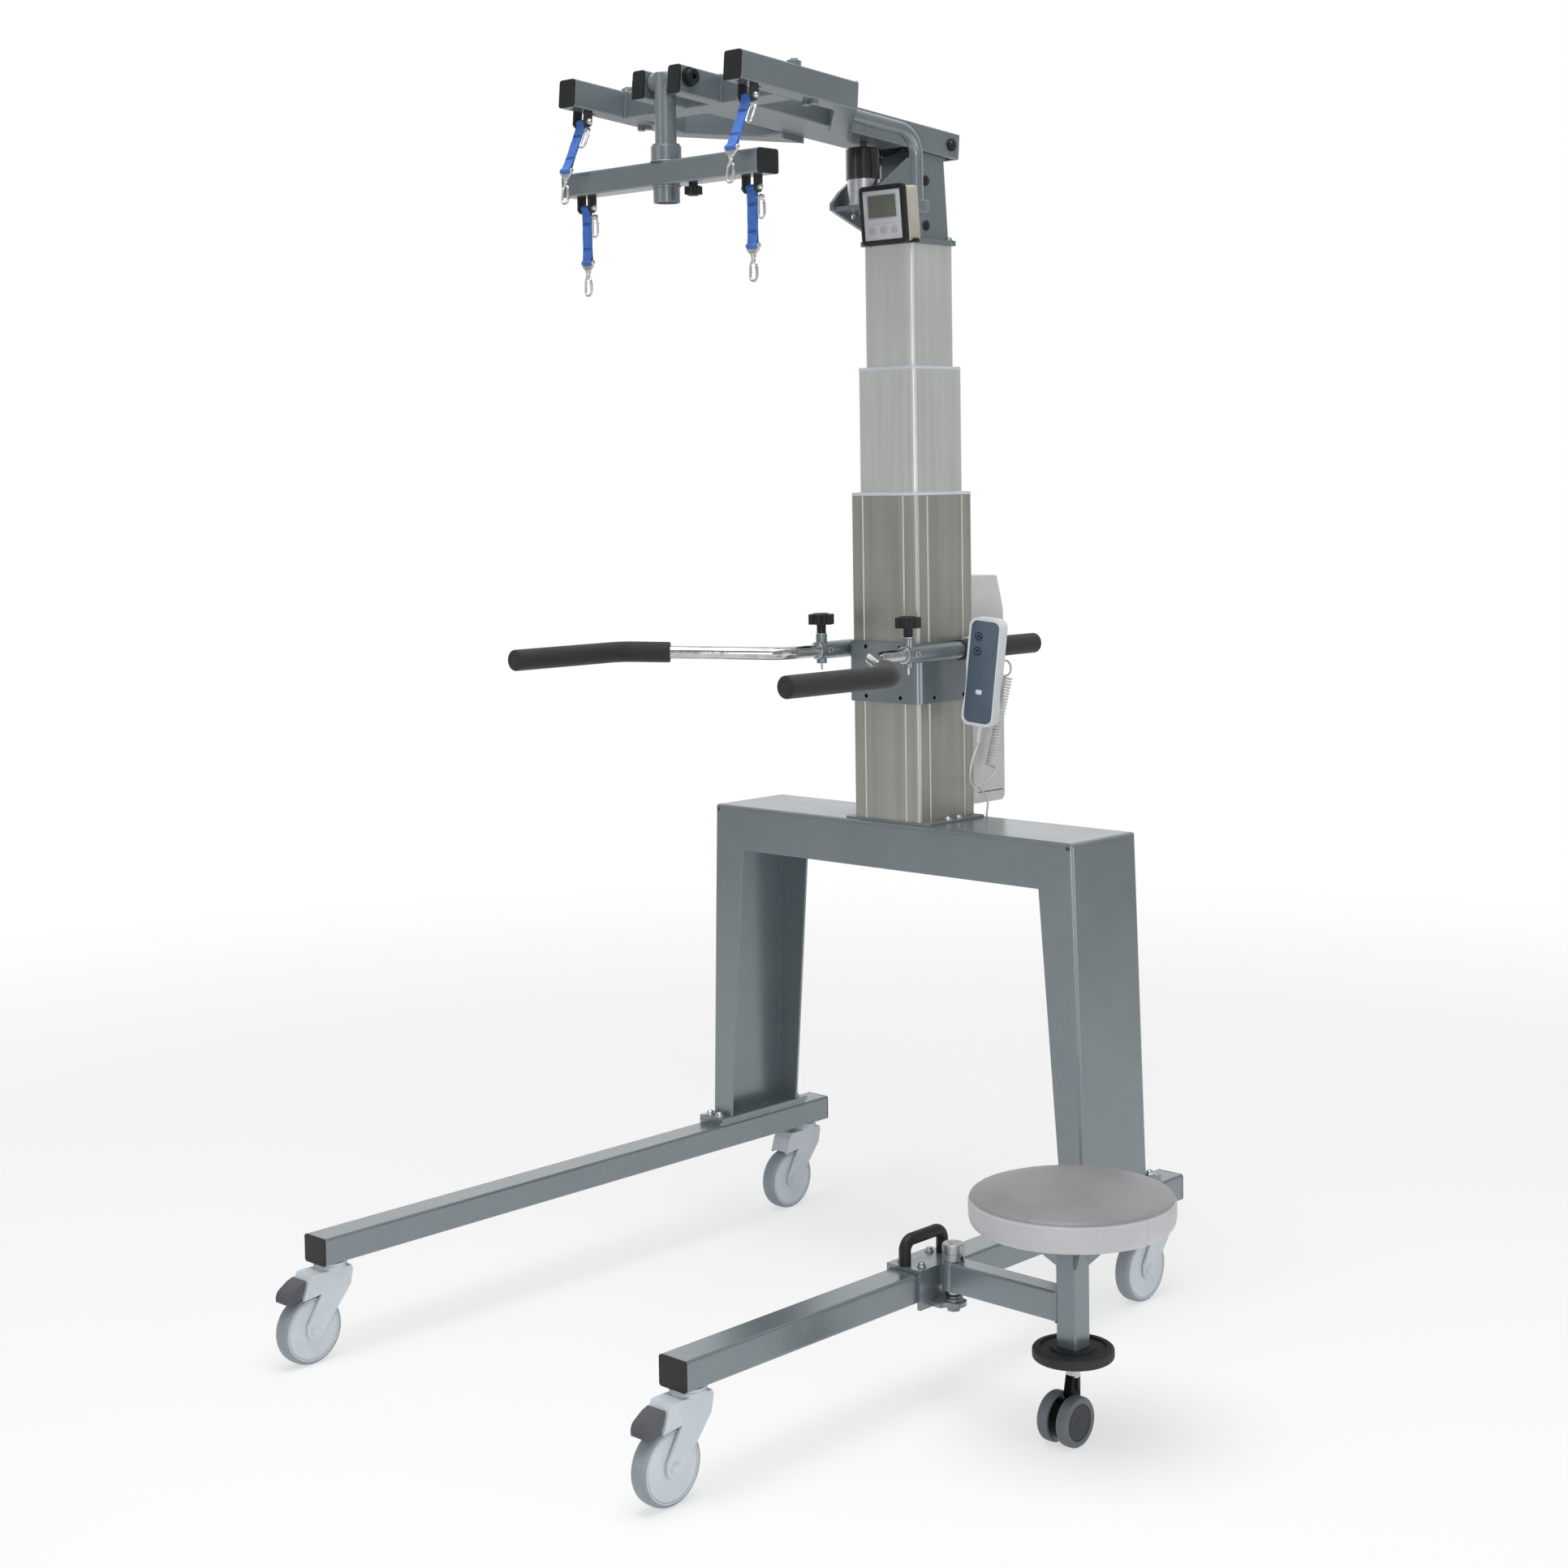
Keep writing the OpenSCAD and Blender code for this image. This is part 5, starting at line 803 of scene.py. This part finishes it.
def smooth_line(points, steps):
    """A smooth line through places, as the solid cord follows it."""
    line = []
    for i in range(len(points) - 1):
        a, b = points[max(i - 1, 0)], points[i]
        c, d = points[i + 1], points[min(i + 2, len(points) - 1)]
        for k in range(steps):
            t = k / steps
            line.append(0.5 * (2 * b + (c - a) * t + (2 * a - 5 * b + 4 * c - d) * t * t
                               + (3 * b - 3 * c + d - a) * t * t * t))
    return line + [points[-1]]


def cord_piece(name, line, node):
    curve = bpy.data.curves.new(name, "CURVE")
    curve.dimensions = "3D"
    curve.bevel_depth = CORD_D / 2
    curve.bevel_resolution = 3
    curve.use_fill_caps = True
    spline = curve.splines.new("POLY")
    spline.points.add(len(line) - 1)
    for point, co in zip(spline.points, line):
        point.co = (*co, 1)
    curve.materials.append(cord_sheath)
    obj = bpy.data.objects.new(name, curve)
    bpy.context.scene.collection.objects.link(obj)
    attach(obj, "base")
    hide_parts(node)
    length = sum((b - a).length for a, b in zip(line, line[1:]))


cord_start = handset @ Vector((0, 0, -0.139))
cord_down = handset.to_3x3() @ Vector((0, 0, -1))
loop = [at(147, 101, 1018), at(142, 100, 990), at(134, 112, 970), at(122, 140, 960), at(112, 180, 964),
        at(105, 218, 976), at(97, 236, 985)]
curl_from, curl_to = at(84, 232, 990), at(81, 297, 1162)
CURLS, CURL_R = 30, 0.0075
curl_axis = (curl_to - curl_from).normalized()
curl_side = curl_axis.cross(Vector((1, 0, 0))).normalized()
curl_other = curl_axis.cross(curl_side)
line = smooth_line([cord_start, cord_start + cord_down * 0.006] + loop, 6)
steps = 16 * CURLS + 8
for k in range(steps + 1):
    a = math.tau * k / 16
    out = curl_side * math.cos(a) + curl_other * math.sin(a)
    line.append(curl_from.lerp(curl_to, k / steps) + CURL_R * out)
into_box = [at(88.5, 290, 1167), at(93, 290.5, 1176), at(91, 291.5, 1187), at(83, 292, 1194),
            at(72, 292, 1196), at(67, 292, 1196), at(63, 292, 1196)]
line += smooth_line(into_box, 4)
cord_piece("curled_cord", line, "handset_cord")
lead = [at(61, 206, 952), at(66, 206, 952), at(80, 206, 946), at(100, 203, 928), at(109, 193, 914),
        at(110, 189, 902), at(110, 189, 890), at(110, 189, 885)]
cord_piece("mains_lead", smooth_line(lead, 4), "power_lead")

# Stool seat: a black board with a foam pad under grey vinyl; the top panel is sewn
# to a side band, topstitched under the seam, and one upright seam joins the band.
# The top panel is coloured darker than the band: painted shade on the top.
POST_X, POST_Y = 775, -424
SEAM_Z = 0.4015
vinyl, f, where = new_finish("grey_vinyl")
pebble = f.node("TexVoronoi", {"feature": "SMOOTH_F1"}, {"Vector": where, "Scale": 620.0}, out="Distance")
fine = noise(f, where, 2400.0)
cloud = patches(f, where, 9.0, 0.3, 0.75)
worn = cloud * 0.6 + pebble * 0.4
# Above the seam the vinyl is coloured darker: painted shade on the top panel.
shaded_top = f.node("SeparateXYZ", {}, {0: where}, out="Z").between(SEAM_Z - 0.002, SEAM_Z + 0.001)
band_tint = worn.mix(shade(182, 181, 185), shade(198, 197, 201))
shaded_top_tint = worn.mix(shade(130, 128, 130), shade(146, 144, 146))
surface(f, {"Base Color": shaded_top.mix(band_tint, shaded_top_tint), "Roughness": cloud * 0.08 + 0.42,
            "Coat Weight": 0.08, "Coat Roughness": 0.3,
            "Normal": bumpy(f, pebble * 0.7 + fine * 0.3, 0.16, 0.0006)})
seat_thread = moulded_finish("seat_thread", shade(206, 205, 207), shade(222, 221, 223), 0.7, 2600.0, 0.4)
seat_middle = at(POST_X, POST_Y, 354.4)
pad_half = [(0, 0), (0, 120), (0, 152), (0.8, 159), (3, 163.4), (7, 166.4), (16, 168.4), (36, 168.6),
            (43, 168.4), (47.5, 167.4), (51.5, 164.8), (54.8, 160), (57.2, 151), (59.2, 130), (60.8, 90),
            (61.7, 45), (62, 0)]


def puffed(bm, sewn, cap):
    """A pad after its foam has filled the cover, blown up a little between its sewn lines."""
    first = bpy.data.meshes.new("pad_start")
    bm.to_mesh(first)
    bm.free()
    pad = bpy.data.objects.new("pad_start", first)
    bpy.context.scene.collection.objects.link(pad)
    even = pad.modifiers.new("even", "REMESH")
    even.mode = "VOXEL"
    even.voxel_size = 0.005
    start = bpy.data.meshes.new_from_object(pad.evaluated_get(bpy.context.evaluated_depsgraph_get()))
    pad.modifiers.clear()
    pad.data = start
    held = pad.vertex_groups.new(name="sewn")
    held.add([v.index for v in start.vertices if sewn(v.co)], 1.0, "REPLACE")
    cover = pad.modifiers.new("cover", "CLOTH")
    cover.settings.use_pressure = True
    cover.settings.uniform_pressure_force = 4
    cover.settings.vertex_group_mass = "sewn"
    cover.settings.effector_weights.gravity = 0
    for moment in range(1, 21):
        bpy.context.scene.frame_set(moment)
    blown = bpy.data.meshes.new_from_object(pad.evaluated_get(bpy.context.evaluated_depsgraph_get()))
    bpy.context.scene.frame_set(1)
    out = bmesh.new()
    out.from_mesh(blown)
    for v, before in zip(out.verts, start.vertices):
        move = v.co - before.co
        v.co = before.co + move * min(1, cap / max(move.length, 1e-9))
    loose = [v for v in out.verts if not sewn(v.co)]
    for _ in range(5):
        bmesh.ops.smooth_vert(out, verts=loose, factor=0.5, use_axis_x=True, use_axis_y=True, use_axis_z=True)
    bpy.data.objects.remove(pad)
    for mesh in (first, start, blown):
        bpy.data.meshes.remove(mesh)
    return out


def at_seam(co):
    flat = (co - seat_middle).to_2d().length
    return co.z < seat_middle.z + 0.003 or (abs(co.z - SEAM_Z) < 0.004 and flat > 0.158)


pad = put(turned(pad_half, 96, closed=False), seat_middle, UPRIGHT)
pad = puffed(pad, at_seam, 0.0035)
for v in pad.verts:
    flat = (v.co - seat_middle).to_2d()
    near = max(0, 1 - abs(v.co.z - SEAM_Z) / 0.005)
    if flat.length > 0.15 and near > 0:
        v.co -= flat.normalized().to_3d() * 0.0014 * near
skin = BVHTree.FromBMesh(pad)
board_half = [(346.1, 0), (346.1, 108), (347, 109), (354, 109), (355.4, 108), (355.4, 0)]
board = put(turned(board_half, 72, closed=False), at(POST_X, POST_Y, 0), UPRIGHT)
piece("seat_board", board, black_nylon, "stool", "black_plastic")
seat = piece("seat_pad", pad, vinyl, "stool", "vinyl", "seat_cushion", sharp=3.0)
soft = seat.modifiers.new("soft", "SUBSURF")
soft.levels = soft.render_levels = 1


def on_band(turn, z):
    """The place on the seat's side band at an angle and a height."""
    out = Vector((math.cos(turn), math.sin(turn), 0))
    return skin.ray_cast(Vector((seat_middle.x, seat_middle.y, z)) + out * 0.3, -out)[0]


BAND_SEAM = math.radians(-8)
STITCHES = 250
thread = bmesh.new()
for k in range(STITCHES):
    a = math.tau * k / STITCHES
    spot = on_band(a, SEAM_Z - 0.0052)
    bead(thread, Matrix.Translation(spot) @ Matrix.Rotation(a + math.pi / 2, 4, "Z"), 3.1, 0.9)
for side in (-1, 1):
    for k in range(10):
        spot = on_band(BAND_SEAM + side * 0.019, SEAM_Z - 0.008 - 0.0038 * k)
        bead(thread, Matrix.Translation(spot) @ HANGING, 2.8, 0.9)
piece("seat_stitches", thread, seat_thread, "stool", "vinyl")
upright = [on_band(BAND_SEAM, SEAM_Z - 0.001 - 0.0021 * k) for k in range(21)]
piece("seat_band_seam", wire(upright, 2.2, ends=[0.5] + [1] * 19 + [0.5]), vinyl, "stool", "vinyl")

# Stool caster: a black nylon body with twin wheels, a grey tyre on each, and a bright
# socket under the round black bumper.
STEM_Z = 0.109
disc_rubber = moulded_finish("bumper_rubber", shade(38, 39, 40), shade(52, 53, 54), 0.6)
dress(disc_rubber, "bumper_disc")
stem_zinc = plated_finish("socket_zinc", shade(206, 208, 210), shade(228, 230, 232), 0.26, black_below=STEM_Z)
dress(stem_zinc, "stool_fork")
twin_grey = moulded_finish("twin_tyre", shade(94, 101, 107), shade(110, 117, 123), 0.5)
twin_black = moulded_finish("twin_hub", shade(44, 45, 47), shade(58, 60, 62), 0.45)
twin_tyre = [(-10.9, 30.5), (-10.9, 35.5), (-9.8, 38.7), (-7, 40.7), (-3.5, 41), (3.5, 41), (7, 40.7),
             (9.8, 38.7), (10.9, 35.5), (10.9, 31.2), (9.6, 29.6), (-9.6, 29.6)]
twin_hub = [(-9.6, 0), (-9.6, 29.8), (8.2, 29.8), (9, 28.6), (9.4, 26), (9.7, 18), (9.9, 8.4), (10.6, 7.8),
            (10.8, 4), (10.8, 0)]
for name, side, turn in (("left", -1, math.pi), ("right", 1, 0)):
    for kind, profile, finish, closed in (("tyre", twin_tyre, twin_grey, True),
                                          ("hub", twin_hub, twin_black, False)):
        axle = at(POST_X + 19 * side, POST_Y - 22, 41)
        bm = put(turned(profile, 64, closed), axle, Matrix.Rotation(turn, 4, "Z"))
        piece("stool_" + kind + "_" + name, bm, finish, "stool_wheels", "tyre", "stool_wheels")
socket = turned([(104.4, 9), (104.4, 9.8), (105.2, 10.3), (112, 10.3), (112.8, 10.7), (131, 10.7),
                 (132, 10.3), (134.6, 10.3), (134.6, 9)], 32)
put(socket, at(POST_X, POST_Y, 0), UPRIGHT)
piece("caster_socket", socket, zinc, "stool_caster", "steel")

# Stool hinge: a split bright steel knuckle clamped on the pin above the arm, a plain
# spacer under it, and domed rivets through the carriage's top plate.
knuckle_steel = plated_finish("knuckle_steel", shade(150, 152, 154), shade(182, 184, 186), 0.3)
hinge = at(524, POST_Y, 0)
knuckle = turned([(244.5, 0), (244.5, 18), (245.3, 18.9), (255, 18.9), (255.6, 18.2), (256.4, 18.2),
                  (257, 18.9), (271.6, 18.9), (272.8, 17.8), (272.8, 9.6), (271.4, 9.2), (271.4, 0)],
                 48, closed=False)
spacer = turned([(179.9, 12.2), (180.4, 12.4), (193.4, 12.4), (193.4, 11)], 32)
bright = [put(joined(knuckle, spacer), hinge, UPRIGHT)]
rivet_half = [(0.05, 0), (0.05, 8), (1.7, 8), (2.3, 7.2), (2.6, 6.3), (4.6, 6), (6.7, 4.6),
              (7.8, 2.4), (8.2, 0)]
for x in (440, 484):
    for y in (-460, -388):
        bright.append(put(turned(rivet_half, 20, closed=False), at(x, y, 232.3), UPRIGHT))
piece("hinge_knuckle", joined(*bright), knuckle_steel, "carriage", "steel")
# The slit and the square key hole are black blocks, painted shade of the knuckle's openings; the ring round
# the spacer is black nylon.
slit_shade = rounded_block(1.6, 15, 0.6, 0.6, Matrix.Translation(at(524, -442.6, 264.5)), 0.2)
key_hole_shade = rounded_block(7, 7, 1, 0.6, Matrix.Translation(at(542.6, POST_Y, 250)) @ LAID, 0.2)
band_ring = turned([(183, 12.3), (183.4, 13.4), (185, 13.8), (186.6, 13.4), (187, 12.3)], 32)
put(band_ring, hinge, UPRIGHT)
piece("hinge_shade_and_ring", joined(slit_shade, key_hole_shade, band_ring), black_nylon, "carriage", "black_plastic")

# Caps in the spare holes of the head bracket: black nylon, domed, pressed into both
# of its side plates.
cap_half = [(-6, 0), (-6, 7.7), (0.05, 7.7), (0.05, 10), (1.2, 10), (2.5, 8.8), (3.1, 5), (3.2, 0)]
caps = []
for side, turn in ((-1, math.pi), (1, 0)):
    for z in (2137, 2051):
        spot = at(50 * side, 95, z)
        caps.append(put(turned(cap_half, 28, closed=False), spot, Matrix.Rotation(turn, 4, "Z")))
piece("bracket_caps", joined(*caps), black_nylon, "lift_inner", "black_plastic")


# Welds: the bead that joins each tube to the next, on the boom, the head bracket, the
# stool's arm and the lift bar, rippled and painted over.
def weld(pose, corners, thick=5.0, closed=False):
    """A weld bead with its ripples, along corners in millimetres of a pose."""
    ends = corners + corners[:1] if closed else corners
    points = []
    for a, b in zip(ends, ends[1:]):
        a, b = Vector(a), Vector(b)
        count = max(2, int((b - a).length / 1.5))
        points += [pose @ (a.lerp(b, k / count) / 1000) for k in range(count)]
    if not closed:
        points.append(pose @ (Vector(ends[-1]) / 1000))
    ripple = [0.84 + 0.16 * (k % 3) / 2 for k in range(len(points))]
    return wire(points, thick, closed=closed, sides=2, ends=ripple)


def ring(middle, radius, count=36):
    """Corners of a level round bead."""
    turns = [math.tau * k / count for k in range(count)]
    return [(middle[0] + radius * math.cos(a), middle[1] + radius * math.sin(a), middle[2]) for a in turns]


boom_welds = [weld(boom, [(-60, -582, 15), (60, -582, 15)])]
for side in (-1, 1):
    for corners in (
            [(189, -631.5, -35), (189, -631.5, 15.5), (189, -580.5, 15.5), (189, -580.5, -35)],
            [(60.5, -581.5, 15), (60.5, -581.5, -25)],
            [(30, -631.5, -34), (30, -631.5, 15), (60, -631.5, 15), (60, -631.5, -34)],
            [(60.5, -346.6, -35), (60.5, -346.6, 15), (60.5, -292, 15), (60.5, -292, -35)],
            [(228, -460, 15), (195, -481.6, 15)]):
        boom_welds.append(weld(boom, [(x * side, y, z) for x, y, z in corners]))
piece("boom_welds", joined(*boom_welds), paint, "boom", "paint", sharp=3.0)
gantry = Matrix.Translation(at(0, 0, 0))
bracket_welds = [weld(gantry, [(50.5 * side, 42, 2024.5), (50.5 * side, 160, 2024.5)]) for side in (-1, 1)]
piece("bracket_welds", joined(*bracket_welds), paint, "lift_inner", "paint", sharp=3.0)
arm_end = [(755, y, z) for y, z in ((-443.5, 194.5), (-443.5, 243.5), (-404.5, 243.5), (-404.5, 194.5))]
piece("stool_arm_weld", weld(gantry, arm_end, closed=True), paint, "stool", "paint", sharp=3.0)
bar_pose = Matrix.Translation(hang - Vector((0, 0, 0.141)))
bar_welds = [weld(bar_pose, ring((0, 0, z), r), 4.0, True) for z, r in ((0.5, 27), (-42.5, 23.8))]
piece("bar_welds", joined(*bar_welds), paint, "lift_bar", "paint", sharp=3.0)
